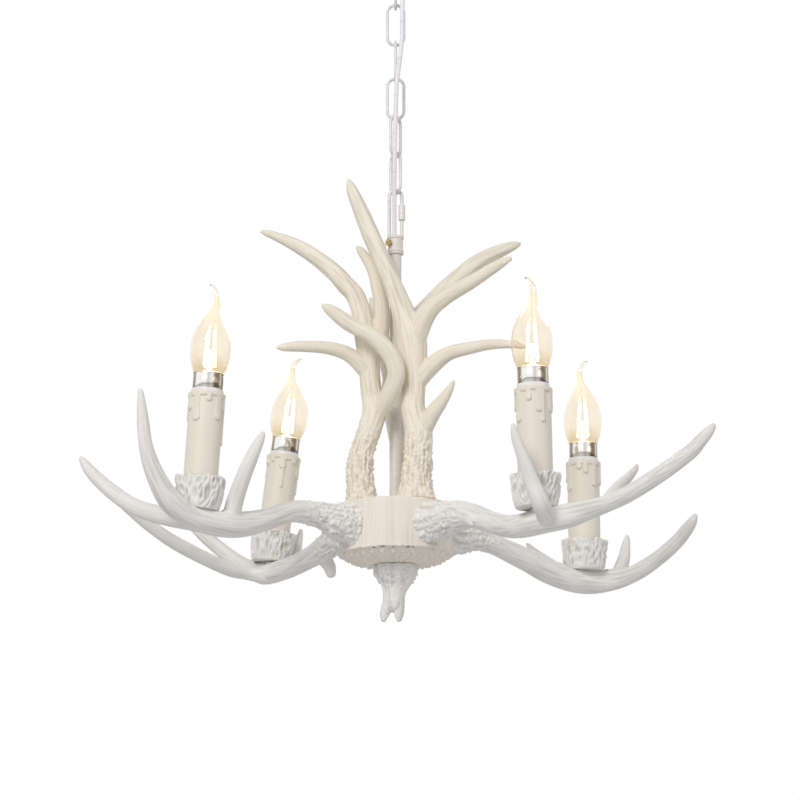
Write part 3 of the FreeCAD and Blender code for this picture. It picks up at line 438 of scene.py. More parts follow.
def lathe(name, profile, segments, shape=None):
    """A closed outline of (radius, height) turned about Z. shape(angle, radius, height) moves each vertex."""
    outline = np.array(profile, float)
    angle = np.linspace(0, 2 * math.pi, segments, endpoint=False)
    theta, radius = np.meshgrid(angle, outline[:, 0], indexing="ij")
    height = np.broadcast_to(outline[:, 1], radius.shape)
    theta, radius, height = theta.ravel(), radius.ravel(), height.ravel()
    painted_light = np.zeros(len(theta))
    if shape:
        radius, height, painted_light = shape(theta, radius, height)
    verts = np.stack([radius * np.cos(theta), radius * np.sin(theta), height], 1)
    n = len(outline)
    faces = []
    for i in range(segments):
        here, beside = i * n, ((i + 1) % segments) * n
        faces += [(here + j, beside + j, beside + (j + 1) % n, here + (j + 1) % n) for j in range(n)]
    obj = mesh_object(name, verts, faces)
    tint(obj, painted_light)
    return obj


def dense(points, gap):
    """More points on each straight run of an outline, about gap apart."""
    out = []
    for a, b in zip(points, points[1:] + points[:1]):
        steps = max(1, int(math.dist(a, b) / gap))
        out += [(a[0] + (b[0] - a[0]) * i / steps, a[1] + (b[1] - a[1]) * i / steps) for i in range(steps)]
    return out


def wrapped(angle, height, reach, along):
    """Noise coordinates that close round a piece: their reach round it, cells per metre along it."""
    return np.stack([np.cos(angle) * reach, np.sin(angle) * reach, height * along], 1)


def round_coords(theta, height, around, along):
    """The same, with a count of cells around the piece in place of the reach."""
    return wrapped(theta, height, around / (2 * math.pi), along)


def rim_coords(theta, around):
    """Noise coordinates that change only round a turned piece, in cells around it."""
    return round_coords(theta, theta * 0, around, 1)


# ---- materials
def nodes_of(name):
    material = bpy.data.materials.new(name)
    material.use_nodes = True
    tree = material.node_tree
    return material, tree, tree.nodes["Principled BSDF"]


def set_inputs(node, values):
    """Give a node's inputs, by name, their fixed values."""
    for name, value in values.items():
        node.inputs[name].default_value = value


def noise_node(tree, scale, detail=4):
    coords = tree.nodes.new("ShaderNodeTexCoord")
    texture = tree.nodes.new("ShaderNodeTexNoise")
    set_inputs(texture, {"Scale": scale, "Detail": detail})
    tree.links.new(coords.outputs["Object"], texture.inputs["Vector"])
    return texture


def attribute_node(tree, name):
    """Reads the number that tint() stored at each vertex."""
    node = tree.nodes.new("ShaderNodeAttribute")
    node.attribute_name = name
    return node


def halfway(one, other):
    """The colour midway between two."""
    return tuple((a + b) / 2 for a, b in zip(one, other))


def ramp_node(tree, source, stops):
    ramp = tree.nodes.new("ShaderNodeValToRGB")
    elements = ramp.color_ramp.elements
    while len(elements) < len(stops):
        elements.new(0.5)
    for element, (place, colour) in zip(elements, stops):
        element.position = place
        element.color = (*colour, 1)
    tree.links.new(source, ramp.inputs["Fac"])
    return ramp


def bump_node(tree, shader, source, strength, distance):
    bump = tree.nodes.new("ShaderNodeBump")
    set_inputs(bump, {"Strength": strength, "Distance": distance})
    tree.links.new(source, bump.inputs["Height"])
    tree.links.new(bump.outputs["Normal"], shader.inputs["Normal"])


def resin(name, light, shade, rough=0.62, grain=900, bump=0.25):
    """Painted cast resin with a fine tooth: painted highlight on the ridges, painted shade in the grooves."""
    material, tree, shader = nodes_of(name)
    # the number per vertex paints light and shade: paler where the surface stands out, darker where it sinks
    painted_light = attribute_node(tree, "painted_light")
    cloud = noise_node(tree, 45, 5)
    join = tree.nodes.new("ShaderNodeMath")
    join.operation = "MULTIPLY_ADD"
    join.inputs[1].default_value = 0.22
    tree.links.new(cloud.outputs["Fac"], join.inputs[0])
    tree.links.new(painted_light.outputs["Fac"], join.inputs[2])
    stops = [(0.0, shade), (0.42, halfway(light, shade)), (0.72, light)]
    ramp = ramp_node(tree, join.outputs["Value"], stops)
    tree.links.new(ramp.outputs["Color"], shader.inputs["Base Color"])
    set_inputs(shader, {"Roughness": rough, "Specular IOR Level": 0.35})
    fine = noise_node(tree, grain, 3)
    bump_node(tree, shader, fine.outputs["Fac"], bump, 0.0003)
    return material


def plain(name, colour, other, rough, metallic=0.0, scale=120, coat=0.0):
    """A finish whose colour and surface vary a little."""
    material, tree, shader = nodes_of(name)
    texture = noise_node(tree, scale)
    ramp = ramp_node(tree, texture.outputs["Fac"], [(0.35, other), (0.62, colour)])
    tree.links.new(ramp.outputs["Color"], shader.inputs["Base Color"])
    set_inputs(shader, {"Roughness": rough, "Metallic": metallic, "Coat Weight": coat})
    bump_node(tree, shader, texture.outputs["Fac"], 0.1, 0.0002)
    return material


def glass_material(name):
    """Clear glass, tinted deeper at the neck and tip as painted shade, with a painted glow in its wall."""
    material, tree, shader = nodes_of(name)
    clear = attribute_node(tree, "clear")
    # painted shade: the deeper tint stands for the shade seen at the neck and near the tip
    shaded_to_clear = [(0.0, (0.80, 0.72, 0.57)), (0.5, (0.89, 0.835, 0.725)), (1.0, (0.93, 0.895, 0.82))]
    ramp = ramp_node(tree, clear.outputs["Fac"], shaded_to_clear)
    tree.links.new(ramp.outputs["Color"], shader.inputs["Base Color"])
    # painted glow: the glass wall gives off light of its own
    painted_glow = attribute_node(tree, "painted_glow")
    dark_to_lit = [(0.0, (0, 0, 0)), (0.5, (0.16, 0.11, 0.05)), (1.0, (0.6, 0.5, 0.34))]
    light = ramp_node(tree, painted_glow.outputs["Fac"], dark_to_lit)
    tree.links.new(light.outputs["Color"], shader.inputs["Emission Color"])
    set_inputs(shader, {"Emission Strength": 0.3, "Roughness": 0.0})
    set_inputs(shader, {"IOR": 1.3, "Transmission Weight": 1.0})
    return material


def metal_material(name, dim, bright):
    """Polished metal whose base colour holds painted reflection: dim and bright bands fixed in the piece."""
    material, tree, shader = nodes_of(name)
    painted_reflection = attribute_node(tree, "painted_light")
    ramp = ramp_node(tree, painted_reflection.outputs["Fac"], [(0.1, dim), (0.45, halfway(dim, bright)), (0.75, bright)])
    tree.links.new(ramp.outputs["Color"], shader.inputs["Base Color"])
    set_inputs(shader, {"Roughness": 0.14, "Metallic": 1.0})
    bump_node(tree, shader, noise_node(tree, 200, 4).outputs["Fac"], 0.04, 0.0002)
    return material


def glow_material(name, colour, strength):
    """Lit strips, a little uneven along their length."""
    material, tree, shader = nodes_of(name)
    texture = noise_node(tree, 700, 2)
    ramp = ramp_node(tree, texture.outputs["Fac"], [(0.3, colour), (0.7, (1.0, 0.93, 0.72))])
    tree.links.new(ramp.outputs["Color"], shader.inputs["Base Color"])
    tree.links.new(ramp.outputs["Color"], shader.inputs["Emission Color"])
    set_inputs(shader, {"Emission Strength": strength, "Roughness": 0.5})
    return material


# each slot's finish: its maker, its name and what the maker takes after the name
FINISHES = [
    (resin, "antler_white", (0.86, 0.85, 0.83), (0.64, 0.62, 0.58)),
    # antler_warm: the uprights' warm cream stands in for the bulbs' warm light falling on them, painted light
    (resin, "antler_warm", (0.88, 0.82, 0.72), (0.64, 0.56, 0.44)),
    (resin, "hub_resin", (0.87, 0.815, 0.74), (0.68, 0.62, 0.53)),
    (resin, "cup_bark", (0.84, 0.835, 0.81), (0.60, 0.58, 0.53)),
    (resin, "candle_ivory", (0.82, 0.76, 0.68), (0.68, 0.60, 0.50), 0.42, 300, 0.08),
    (plain, "holder_white", (0.86, 0.86, 0.87), (0.80, 0.80, 0.80), 0.35, 0.0, 120, 0.3),
    (metal_material, "bulb_metal", (0.22, 0.17, 0.12), (0.90, 0.88, 0.84)),
    (glass_material, "bulb_glass"),
    (glow_material, "filament", (1.0, 0.80, 0.40), 9.0),
    (plain, "chain_paint", (0.80, 0.79, 0.79), (0.72, 0.71, 0.70), 0.38, 0.0, 300, 0.25),
    (plain, "stem_paint", (0.80, 0.77, 0.73), (0.74, 0.71, 0.66), 0.45, 0.0, 260),
    (plain, "canopy_paint", (0.86, 0.86, 0.86), (0.82, 0.82, 0.81), 0.4, 0.0, 80, 0.2),
    (plain, "steel", (0.56, 0.56, 0.57), (0.46, 0.46, 0.46), 0.35, 1.0, 260),
    (plain, "brass", (0.62, 0.45, 0.22), (0.40, 0.27, 0.14), 0.3, 1.0, 400),
    (plain, "cable_sheath", (0.83, 0.81, 0.87), (0.76, 0.74, 0.81), 0.4, 0.0, 500),
    (plain, "bush_rubber", (0.78, 0.78, 0.77), (0.70, 0.70, 0.69), 0.6, 0.0, 500),
    (plain, "terminal_plastic", (0.84, 0.84, 0.82), (0.77, 0.77, 0.74), 0.5, 0.0, 200),
]
MATERIALS = {name: make(name, *look) for make, name, *look in FINISHES}


def finish_piece(obj, slot, body, node):
    """Give a piece its material and body, and hide the CAD node that it stands for."""
    obj.data.materials.clear()
    obj.data.materials.append(MATERIALS[slot])
    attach(obj, body)
    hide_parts(node)


def dress_nodes():
    """The CAD nodes that keep their own shape take their slot's material."""
    slots = {part["node"]: part["material_slot"] for part in frame["record"]["subparts"]}
    for name, obj in NODES.items():
        if obj.data.materials:
            for i in range(len(obj.data.materials)):
                obj.data.materials[i] = MATERIALS[slots[name]]
        else:
            obj.data.materials.append(MATERIALS[slots[name]])


# ---- antlers
# how deep an arm's root starts inside the drum, and how far its skin may sink into the drum's wall
ROOT_DEPTH = 0.006
DRUM_SINK = 0.0003
# the room that an arm leaves round its candle's cup, and how high its lip stands there
CUP_ROOM = 0.0218
CUP_LIP = 0.004


def candle_matrix(name):
    """Place and lean of a candle."""
    candle = CANDLES[name]
    lean = Euler((0, math.radians(candle["lean"]), 0)).to_matrix().to_4x4()
    return Matrix.Translation(Vector(candle["foot"]) * MM) @ lean


def clear_of_drum(co):
    """Push what reaches into the drum out to its wall."""
    reach = np.linalg.norm(co[:, :2], axis=1)
    wall = HUB_RADIUS - DRUM_SINK
    scale = np.where(reach < wall, wall / np.maximum(reach, MM), 1)
    co[:, :2] *= scale[:, None]
    return co


def clear_of_cup(co, name):
    """Flatten the seat under the candle's cup, and keep the rest beside the cup."""
    matrix = np.array(candle_matrix(name))
    local = (co - matrix[:3, 3]) @ matrix[:3, :3]
    reach = np.linalg.norm(local[:, :2], axis=1)
    inside = (reach < CUP_ROOM) & (local[:, 2] > 0)
    down = inside & (local[:, 2] < CUP_ROOM - reach + CUP_LIP)
    out = inside & ~down
    local[down, 2] = 0
    local[out, :2] *= (CUP_ROOM / np.maximum(reach[out], MM))[:, None]
    return local @ matrix[:3, :3].T + matrix[:3, 3]


def antler_skin(name, runs, crust, arm=None):
    """An antler: its branches under one skin, lined along their length, crusted near the root.

    An arm, named by its candle, is pearled where it meets the drum and gives way to the candle's cup.
    """
    tubes = []
    for part, run in runs.items():
        rows = spline(run)
        if arm and part == "beam":
            start = np.array(run[0], float) * MM
            inward = start[:2] / np.linalg.norm(start[:2]) * (HUB_RADIUS - ROOT_DEPTH)
            rows = np.vstack([np.append(inward, start[2:]), rows])
        tubes.append(tube(rows, 28))
    obj = remeshed(name, tubes, ANTLER_VOXEL)
    smooth_mesh(obj, 5)
    branches = Branches(runs)
    co, out = positions(obj), normals(obj)
    nearest, angle = branches.locate(co)
    girth = branches.rows[nearest, 3]
    along = branches.along[nearest] + branches.number[nearest] * 0.37
    on_main = branches.number[nearest] == 0
    root = np.where(on_main, branches.along[nearest], 1.0)
    rough = 1 - step(crust * 0.45, crust, root)
    # close, shallow grooves run along the beam; the tines are smoother
    body = step(0.0025, 0.008, girth) * np.where(on_main, 1.0, 0.45)
    groove = ridged(wrapped(angle, along, 3.4, 22)) - 0.62
    fine = ridged(wrapped(angle, along, 6.2, 34) + 7) - 0.6
    swell = noise(wrapped(angle, along, 0.7, 18) + 3)
    furrow = ridged(wrapped(angle, along, 3.4, 60) + 11) - 0.55
    knobs = noise(co / 0.0042) * 0.6 + noise(co / 0.0024) * 0.4
    move = body * (groove * 0.5 + fine * 0.3 + swell * 0.6) * MM
    grains = np.clip(noise(co / 0.0029), 0, 1) ** 0.8
    move += rough * (furrow * 1.0 + knobs * 0.8 + grains * 2.4) * MM
    if arm:
        # the burr ends in a thin lip that hugs the drum
        from_drum = np.linalg.norm(co[:, :2], axis=1) - HUB_RADIUS
        pearls = np.clip(noise(co / 0.0036) - 0.05, 0, 1)
        near = 1 - step(0.004, 0.022, from_drum)
        move += near * pearls * 2.8 * MM
        move += 1.1 * MM * (step(-0.002, 0.0, from_drum) - step(0.0016, 0.0026, from_drum))
    co = co + out * move[:, None]
    if arm:
        co = clear_of_cup(clear_of_drum(co), arm)
    else:
        co[:, 2] = np.maximum(co[:, 2], HUB_TOP - SEAM)
    set_positions(obj, co)
    # painted light: paler on ridges, knobs and grains as painted highlight, darker in grooves and furrows as
    # painted shade
    painted_light = 0.5 + 0.55 * body * (groove + 0.5 * fine) + rough * (furrow * 0.7 + knobs * 0.35)
    tint(obj, np.clip(painted_light + rough * grains * 0.5, 0, 1))
    return obj


def build_antlers():
    for name, runs in ARMS.items():
        arm = antler_skin("antler_arm_" + name, runs, ARM_CRUST, name)
        finish_piece(arm, "antler_white", "fixture", "arm_" + name)
    for name, runs in UPRIGHTS.items():
        upright = antler_skin("antler_upright_" + name, runs, UPRIGHT_CRUST)
        finish_piece(upright, "antler_warm", "fixture", "upright_" + name)


# ---- hub and finial
def drum_shape(theta, radius, height):
    """Upright grain on the wall, and a ragged lower rim."""
    outer = radius > HUB_RADIUS - HUB_BEVEL
    low = height - HUB_FOOT
    grain = ridged(round_coords(theta, height, 190, 12)) - 0.55
    streak = noise(round_coords(theta, height, 40, 6))
    teeth = noise(rim_coords(theta, 85)) + 0.5 * noise(rim_coords(theta, 30) + 5)
    rim = 1 - step(0.0, 0.004, low)
    radius = radius + outer * (grain * 0.2 + streak * 0.12 + rim * (0.5 + teeth * 0.6)) * MM
    height = height - rim * (0.7 + 1.4 * teeth) * MM
    # painted light: paler on the raised grain and streaks, darker between them, as painted highlight and shade
    painted_light = 0.55 + outer * (grain * 0.32 + streak * 0.15)
    return radius, height, np.clip(painted_light, 0, 1)


# section of the dish: radius, height above its foot
DISH_SECTION = [(0.0046, 0), (0.0195, 0), (0.0354, 0.0028), (0.0458, 0.0068), (DISH_RADIUS, DISH_DEPTH),
                (0.0478, DISH_DEPTH), (0.0478, 0.0130), (0.0458, 0.0130), (0.0437, 0.0108), (0.0343, 0.0068),
                (0.0195, 0.004), (0.0046, 0.004)]
# rings of beads on the dish: reach from the axis, how many, bead radius
BEADS = [(0.0255, 11, 0.0014), (0.0310, 16, 0.0017), (0.0365, 21, 0.0019), (0.0415, 27, 0.0021),
         (0.0458, 31, 0.0022)]
LARGEST_BEAD = BEADS[-1][2]
# the dish's grooves start this far from the axis
GROOVES_FROM = 0.019


def dish_shape(theta, radius, height):
    """Radial grooves and rings of small beads on the dish's underside."""
    low = height < HUB_FOOT + SEAM
    share = np.clip((radius - GROOVES_FROM) / (DISH_RADIUS - GROOVES_FROM), 0, 1)
    grooves = ridged(rim_coords(theta, 90)) - 0.55
    fade = step(0.0, 0.12, share) * (1 - 0.55 * step(0.5, 0.9, share))
    drop = low * grooves * fade * 0.8 * MM
    bead = np.zeros(len(theta))
    for ring, (reach, count, size) in enumerate(BEADS):
        phase = theta * count / (2 * math.pi) + 0.37 * ring
        cell = np.stack([np.floor(phase), np.full(len(phase), ring * 3.1), phase * 0], 1)
        wobble = 0.25 * noise(cell + 0.5)
        du = (phase - np.floor(phase) - 0.5 + wobble) * 2 * math.pi * reach / count
        dr = radius - reach - wobble * 0.004
        bead = np.maximum(bead, np.clip(1 - (du ** 2 + dr ** 2) / size ** 2, 0, 1) ** 0.5 * size)
    edge = low * step(0.82, 1.0, share) * noise(rim_coords(theta, 70) + 9) * 2.4 * MM
    height = height - drop - low * bead * 1.1 - edge
    # painted light: the beads and the ridges between grooves paler as painted highlight, the grooves darker as
    # painted shade
    painted_light = 0.5 + low * (grooves * fade * 0.5 + bead / LARGEST_BEAD)
    return radius, height, np.clip(painted_light, 0, 1)


def build_hub():
    """The drum, open below, and the dish that closes it."""
    bore, inner, ceiling = STEM_RADIUS + FIT_GAP, HUB_RADIUS - HUB_WALL, HUB_TOP - HUB_WALL
    section = [(bore, ceiling), (inner, ceiling), (inner, HUB_FOOT), (HUB_RADIUS, HUB_FOOT),
               (HUB_RADIUS, HUB_TOP - HUB_BEVEL), (HUB_RADIUS - HUB_BEVEL, HUB_TOP), (bore, HUB_TOP)]
    drum = lathe("hub_drum", dense(section, 0.0011), 720, drum_shape)
    finish_piece(drum, "hub_resin", "fixture", "hub_body")
    under = [(radius, DISH_FOOT + height) for radius, height in DISH_SECTION]
    dish = lathe("hub_dish", dense(under, 0.0006), 900, dish_shape)
    finish_piece(dish, "hub_resin", "fixture", "hub_underside")


def build_finial():
    """The drop: a petalled burr that narrows to a grooved neck and two prongs."""
    tubes = [tube(spline(run), 40) for run in FINIAL.values()]
    obj = remeshed("finial_drop", tubes, FINIAL_VOXEL)
    smooth_mesh(obj, 4)
    co, out = positions(obj), normals(obj)
    angle = np.arctan2(co[:, 1], co[:, 0])
    depth = DISH_FOOT - co[:, 2]
    upper = 1 - step(0.016, 0.03, depth)
    petal = ridged(wrapped(angle, depth, 1.5, 20) + 4) - 0.5
    line = ridged(wrapped(angle, depth, 4.2, 35) + 2) - 0.6
    crumbs = noise(co / 0.0026) + upper * np.clip(noise(co / 0.003), 0, 1) * 11
    move = (upper * petal * 2.2 + line * 0.6 + crumbs * 0.25) * MM
    co = co + out * move[:, None]
    co[:, 2] = np.minimum(co[:, 2], DISH_FOOT - SEAM)
    set_positions(obj, co)
    # painted light: paler on the raised petals, lines and crumbs, darker between them
    tint(obj, np.clip(0.55 + line * 0.5 + upper * petal * 0.5 + crumbs * 0.1, 0, 1))
    finish_piece(obj, "antler_white", "fixture", "finial")


# ---- candles
# sections of a cup and of a candle's tube: radius, height above the cup's foot
CUP_SECTION = [(0.0051, 0), (0.0178, 0), (0.0184, 0.003), (0.0198, 0.012), (0.0216, CUP_HEIGHT - 0.0012),
               (0.0208, CUP_HEIGHT), (CANDLE_RADIUS + 0.0016, CUP_HEIGHT),
               (CANDLE_RADIUS + FIT_GAP, CUP_HEIGHT - 0.003), (CANDLE_RADIUS + FIT_GAP, CUP_FLOOR),
               (0.0051, CUP_FLOOR)]
TUBE_SECTION = [(CANDLE_BORE, CUP_FLOOR), (CANDLE_RADIUS, CUP_FLOOR), (CANDLE_RADIUS, CANDLE_TOP - 0.0015),
                (CANDLE_RADIUS - 0.0006, CANDLE_TOP), (CANDLE_BORE, CANDLE_TOP)]


def cup_shape(theta, radius, height):
    """Bark: upright plates with deep cracks, a broken upper edge."""
    outer = step(CANDLE_RADIUS + 0.0012, CANDLE_RADIUS + 0.004, radius)
    wall = outer * step(0.0, 0.002, height)
    plates = ridged(round_coords(theta, height, 27, 95) + 3)
    wander = 0.1 * noise(round_coords(theta, height, 12, 90))
    cracks = ridged(round_coords(theta + wander, height, 46, 80) + 8)
    crumbs = noise(round_coords(theta, height, 90, 420))
    depth = (plates - 0.55) * 2.4 + (cracks - 0.6) * 1.3 + crumbs * 0.35
    upper = step(CUP_HEIGHT - 0.004, CUP_HEIGHT, height)
    broken = noise(rim_coords(theta, 16) + 2) + 0.6 * noise(rim_coords(theta, 40))
    height = height + upper * outer * (broken * 1.5 - 0.4) * MM
    radius = radius + wall * depth * MM
    # painted light: the raised plates paler, the cracks darker as painted shade
    return radius, height, np.clip(0.45 + wall * depth * 0.3, 0, 1)


# wax runs on each candle: angle from the front, half width, length below the mouth, in millimetres
WAX_RUNS = {
    "front_left": [(-62, 3.4, 18), (-28, 3.6, 28), (12, 2.2, 10), (48, 3.0, 26), (78, 2.6, 17), (84, 1.3, 47),
                   (130, 3.2, 22), (170, 3.0, 30), (-150, 2.6, 16), (-110, 3.4, 26), (-58, 1.4, 12)],
    "front_right": [(-58, 3.6, 32), (-18, 2.4, 14), (14, 2.6, 24), (27, 1.6, 33), (66, 3.6, 24),
                    (100, 2.6, 18), (140, 3.4, 28), (178, 2.8, 18), (-140, 3.2, 30), (-100, 2.8, 20)],
    "rear_right": [(-64, 3.6, 30), (-20, 3.0, 10), (4, 2.2, 14), (36, 2.6, 26), (72, 3.2, 24), (110, 3.0, 18),
                   (150, 3.4, 28), (-170, 2.6, 16), (-130, 3.0, 26), (-95, 2.4, 20)],
    "rear_left": [(-66, 3.0, 12), (-38, 2.4, 9), (2, 3.0, 15), (6, 1.2, 34), (44, 2.6, 9), (74, 3.0, 22),
                  (78, 1.5, 38), (120, 3.0, 20), (160, 2.8, 26), (-160, 3.0, 16), (-115, 2.8, 24)],
}


def wax_shape(runs, turn):
    """Wax over a candle's mouth, running down it in rounded tongues that end in a bead."""
    def shape(theta, radius, height):
        drop = (CANDLE_TOP - height) / MM
        outer = radius > CANDLE_RADIUS - 0.0004
        edge = 5.0 + 1.2 * noise(rim_coords(theta, 9) + turn)
        bead = np.zeros(len(theta))
        for azimuth, half, length in runs:
            around = (theta - math.radians(azimuth - 90) + math.pi) % (2 * math.pi) - math.pi
            across = np.abs(around) * CANDLE_RADIUS / MM
            neck = half * (0.72 + 0.28 * step(length * 0.45, length, drop))
            shoulder = np.exp(-(across / (neck * 1.15)) ** 4)
            rounded = length - (half - np.sqrt(np.maximum(half ** 2 - across ** 2, 0)))
            edge = np.maximum(edge, np.where(across < half, rounded, 0) * (shoulder > 0.36))
            end = np.exp(-((drop - length + half) / (half * 1.1)) ** 2 - (across / (half * 0.8)) ** 2)
            bead = np.maximum(bead, end)
        wax = 1 - step(-0.5, 0.35, drop - edge)
        upper = 1 - step(0, 7, drop)
        swell = 0.12 * noise(round_coords(theta, height, 9, 60) + turn)
        radius = radius + outer * (wax * (1.25 + 0.5 * bead + 0.2 * upper) + swell * wax) * MM
        radius = radius + outer * 0.06 * noise(round_coords(theta, height, 14, 40)) * MM
        # painted light: the raised runs paler, and a dark line of painted shade along their edge
        crease_shade = np.exp(-((drop - edge) / 0.5) ** 2)
        return radius, height, np.clip(0.62 + 0.25 * wax - 0.75 * crease_shade * outer, 0, 1)
    return shape


# the flame glass: share of its height, share of its radius
FLAME = [(0, 0.74), (0.08, 0.87), (0.18, 0.985), (0.28, 1), (0.39, 0.96), (0.5, 0.80), (0.61, 0.56),
         (0.72, 0.30), (0.82, 0.185), (0.9, 0.135), (0.985, 0.115), (0.997, 0.085), (1, 0.03)]
# how far its axis sways, as a share of the tip's bend: away first, then a hook
SWAY = [(0, 0), (0.4, 0), (0.52, -0.03), (0.63, -0.15), (0.73, -0.45), (0.83, -0.75), (0.92, -0.35), (1, 1)]
# a turned outline that closes on its axis stops this short of it
AXIS_GAP = 0.00004


def flame_outline():
    """Outer flame profile from the neck to the tip, as rows of (radius, height)."""
    rings = [(wide * GLASS_RADIUS / MM, 0, share * GLASS_HEIGHT / MM, 0) for share, wide in FLAME]
    return spline(rings, 0.0008)[:, [0, 2]]


def sway_at(share):
    """The axis's sway at each share of the glass's height."""
    # spline() turns millimetres into metres, so what goes in a hundredfold comes out a tenth
    rows = spline([(a * 100, 0, b * 100, 0) for a, b in SWAY], 0.001)
    return np.interp(share, rows[:, 0] * 10, rows[:, 2] * 10)


def glass_piece(name):
    """Blown shell: outer and inner flame, bent near the tip, open at the neck."""
    outer = flame_outline()
    slope = np.gradient(outer, axis=0)
    slope /= np.linalg.norm(slope, axis=1)[:, None]
    inner = outer + np.stack([-slope[:, 1], slope[:, 0]], 1) * GLASS_WALL
    inner = inner[(inner[:, 0] > 0.0009) & (outer[:, 1] < GLASS_HEIGHT * 0.9)]
    inner[:, 1] = np.maximum(inner[:, 1], 0)
    tips = [(AXIS_GAP, GLASS_HEIGHT), (AXIS_GAP, inner[-1, 1] + 0.0015)]
    profile = [tuple(p) for p in outer] + tips + [tuple(p) for p in inner[::-1]]
    bend = math.radians(CANDLES[name]["tip"])
    obj = lathe("flame_glass_" + name, profile, 144)
    co = positions(obj)
    share = np.clip(co[:, 2] / GLASS_HEIGHT, 0, 1)
    # painted glow: the wall glows round the strips and in streaks up it, though it is no lamp
    away = np.linalg.norm((co - (0, 0, GLASS_HEIGHT * 0.36)) / (1, 1, 1.5), axis=1)
    angle = np.arctan2(co[:, 1], co[:, 0])
    streak = ridged(wrapped(angle, co[:, 2], 3, 14) + 5)
    tint(obj, np.clip((1 - share) * 0.35 + streak * step(0.3, 0.8, share) * 0.8 - away * 4, 0, 1), "painted_glow")
    # painted shade: the glass is tinted deeper at the neck and near the tip
    streaks = 0.25 * noise(wrapped(angle, co[:, 2], 2, 9) + 2)
    tint(obj, np.clip(step(0, 0.3, share) - 0.7 * step(0.68, 0.95, share) + streaks, 0, 1), "clear")
    push = TIP_BEND * sway_at(share)
    co[:, 0] += push * math.cos(bend)
    co[:, 1] += push * math.sin(bend)
    co[:, 2] += CAP_TOP
    set_positions(obj, co)
    return obj


def neck_reflections(theta, radius, height):
    """Upright bands of painted reflection, the dim and bright surroundings that a polished neck mirrors, fixed in
    its colour.
    """
    painted_reflection = noise(rim_coords(theta, 11) + 6) * 0.9 + noise(rim_coords(theta, 24)) * 0.3
    return radius, height, np.clip(0.5 + painted_reflection, 0, 1)


def cap_piece(name):
    """Polished neck with a rolled upper lip and a fine seam, and the screw shell below it."""
    seat = CAP_TOP - CAP_HEIGHT
    outline = [(0.0002, seat - 0.024), (0.0024, seat - 0.024), (0.0032, seat - 0.022), (0.0069, seat - 0.020)]
    thread = [(0.0069 - 0.0004 * (i % 2), seat - 0.019 + i * 0.0009) for i in range(20)]
    wide = CAP_RADIUS
    outline += thread + [(0.0066, seat), (wide - 0.0005, seat), (wide, seat + 0.0005), (wide, seat + 0.0118),
                         (wide - 0.00035, seat + 0.0122), (wide, seat + 0.0127), (wide, seat + 0.0133),
                         (wide - 0.0003, seat + CAP_HEIGHT), (0.0002, seat + CAP_HEIGHT)]
    return lathe("bulb_neck_" + name, outline, 160, neck_reflections)


def filament_piece(name):
    """Glass stem with four lit strips leaning out from it."""
    base = CAP_TOP / MM
    stem = [(0, 0, base, 2.6), (0, 0, base + 6, 2.2), (0, 0, base + 12, 1.5), (0, 0, base + 22, 1.1)]
    tubes = [tube(spline(stem, 0.001), 16)]
    low, high = 6.6, 3.4
    for i in range(4):
        angle = math.radians(45 + 90 * i)
        strip = [(low * math.cos(angle), low * math.sin(angle), base + 8, 0.9),
                 (high * math.cos(angle), high * math.sin(angle), base + 39.5, 0.9)]
        tubes.append(tube(spline(strip, 0.002), 12))
    # the glass stem shares the strips' lit material, so it glows as well: painted glow
    return merged("light_strips_" + name, tubes)


def build_candles():
    """Each cup, turned its own way, with its waxed candle and its bulb."""
    for name, candle in CANDLES.items():
        cup = lathe("bark_cup_" + name, dense(CUP_SECTION, 0.0007), 300, cup_shape)
        cup.data.transform(Matrix.Rotation(math.radians(candle["turn"]), 4, "Z"))
        wax = wax_shape(WAX_RUNS[name], candle["turn"])
        sleeve = lathe("wax_candle_" + name, dense(TUBE_SECTION, 0.0006), 260, wax)
        bulb = "bulb_" + name
        pieces = [
            (cup, "cup_bark", "fixture", "cup_" + name),
            (sleeve, "candle_ivory", "fixture", "candle_" + name),
            (glass_piece(name), "bulb_glass", bulb, "glass_" + name),
            (cap_piece(name), "bulb_metal", bulb, "cap_" + name),
            (filament_piece(name), "filament", bulb, "filament_" + name),
        ]
        for obj, slot, body, node in pieces:
            obj.data.transform(candle_matrix(name))
            finish_piece(obj, slot, body, node)


# ---- supply cable
def cable_line():
    """The route's smooth line, as points read from its spline."""
    curve = bpy.data.curves.new("cable_route", "CURVE")
    curve.dimensions = "3D"
    curve.resolution_u = 24
    run = curve.splines.new("NURBS")
    run.points.add(len(CABLE_ROUTE) - 1)
    for point, place in zip(run.points, CABLE_ROUTE):
        point.co = (*(Vector(place) * MM), 1)
    run.order_u = 3
    run.use_endpoint_u = True
    holder = placed("cable_route", curve)
    graph = bpy.context.evaluated_depsgraph_get()
    mesh = bpy.data.meshes.new_from_object(holder.evaluated_get(graph))
    line = np.array([v.co for v in mesh.vertices])
    bpy.data.objects.remove(holder)
    bpy.data.meshes.remove(mesh)
    return line


def flex_section():
    """Outline of a flat twin flex: two round cores with a shallow waist."""
    angle = np.linspace(0, 2 * math.pi, 32, endpoint=False)
    waist = 0.5 + 0.1 * np.cos(2 * angle) ** 2
    wide, thin = np.cos(angle), np.sin(angle) * (waist + 0.12 * np.abs(np.sin(2 * angle)))
    return np.stack([wide, thin], 1)


